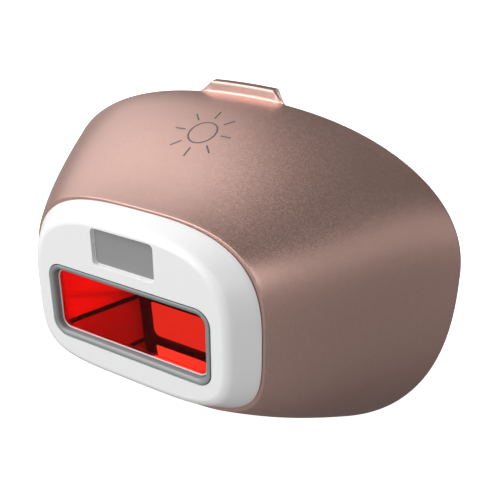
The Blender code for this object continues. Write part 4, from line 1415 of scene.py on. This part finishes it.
def surround(stage):
    world = bpy.data.worlds.new("surround")
    world.use_nodes = True
    board = emptied(world.node_tree)
    strength = board.seen_directly() * (stage.backdrop - stage.sky) + stage.sky
    glow = board.put("ShaderNodeBackground", None, {"Strength": strength})[0]
    board.put("ShaderNodeOutputWorld", None, {"Surface": glow})
    return world


LAMPS = (  # the name of a lamp and of its power, its size, and its place round the head
    ("key", 0.5, (-0.35, -0.25, 0.55)),
    ("left", 0.6, (-0.62, 0.20, 0.42)),
    ("front", 0.6, (-0.25, -0.80, 0.30)),
    ("right", 0.5, (0.75, 0.10, 0.12)),
    ("near", 0.4, (0.60, -0.50, 0.30)),
    ("rear", 0.5, (0.15, 0.90, 0.20)),
)


class HEAD_OT_stage(bpy.types.Operator):
    """Make the floor, the lights and the camera"""

    bl_idname = "head.stage"
    bl_label = "Stage"

    def execute(self, context):
        scene = context.scene
        stage = scene.head_stage
        level = CAD_BOX[0].z
        signs = ((-1, -1), (1, -1), (1, 1), (-1, 1))
        mesh = bpy.data.meshes.new("floor")
        corners = [(x * FLOOR_HALF, y * FLOOR_HALF, level) for x, y in signs]
        mesh.from_pydata(corners, [], [(0, 1, 2, 3)])
        mesh.materials.append(pale_floor(stage))
        floor = bpy.data.objects.new("floor", mesh)
        scene.collection.objects.link(floor)
        scene.world = surround(stage)
        for name, size, place in LAMPS:
            data = bpy.data.lights.new(name, "AREA")
            data.energy = getattr(stage, name)
            data.size = size
            lamp = bpy.data.objects.new(name, data)
            lamp.location = place
            lamp.rotation_euler = (-Vector(place)).to_track_quat("-Z", "Y").to_euler()
            scene.collection.objects.link(lamp)
        data = bpy.data.cameras.new("camera")
        data.lens = stage.lens
        data.sensor_width = 36.0
        data.clip_start = 0.005
        data.clip_end = 20.0
        camera = bpy.data.objects.new("camera", data)
        camera.location = at(*CAMERA_PLACE)
        camera.rotation_euler = (CAMERA_TILT, 0.0, CAMERA_TURN)
        scene.collection.objects.link(camera)
        scene.camera = camera
        scene.view_settings.view_transform = "Standard"
        return {"FINISHED"}


OPERATORS = (
    HEAD_OT_finishes,
    HEAD_OT_stage,
    HEAD_OT_shell,
    HEAD_OT_mark,
    HEAD_OT_bezel,
    HEAD_OT_contact_frame,
    HEAD_OT_optics,
    HEAD_OT_sensor,
    HEAD_OT_springs,
    HEAD_OT_screws,
    HEAD_OT_contacts,
    HEAD_OT_socket,
    HEAD_OT_latches,
)
GROUPS = {
    "head_shell": ShellSizes,
    "head_tab": TabSizes,
    "head_mark": MarkSizes,
    "head_bezel": BezelSizes,
    "head_frame": FrameSizes,
    "head_box": BoxSizes,
    "head_finishes": Finishes,
    "head_stage": StageSettings,
}


class HEAD_PT_panel(bpy.types.Panel):
    bl_idname = "HEAD_PT_panel"
    bl_label = "Treatment Head"
    bl_space_type = "VIEW_3D"
    bl_region_type = "UI"
    bl_category = "Head"

    def draw(self, context):
        for operator in OPERATORS:
            self.layout.operator(operator.bl_idname)
        for name in GROUPS:
            box = self.layout.box()
            group = getattr(context.scene, name)
            for key in group.__annotations__:
                box.prop(group, key)


def register():
    for kind in (*GROUPS.values(), *OPERATORS, HEAD_PT_panel):
        bpy.utils.register_class(kind)
    for name, kind in GROUPS.items():
        setattr(bpy.types.Scene, name, PointerProperty(type=kind))


def unregister():
    for name in GROUPS:
        delattr(bpy.types.Scene, name)
    for kind in reversed((*GROUPS.values(), *OPERATORS, HEAD_PT_panel)):
        bpy.utils.unregister_class(kind)


def main():
    register()
    for operator in OPERATORS:
        group, name = operator.bl_idname.split(".")
        getattr(getattr(bpy.ops, group), name)()


if __name__ == "__main__":
    main()
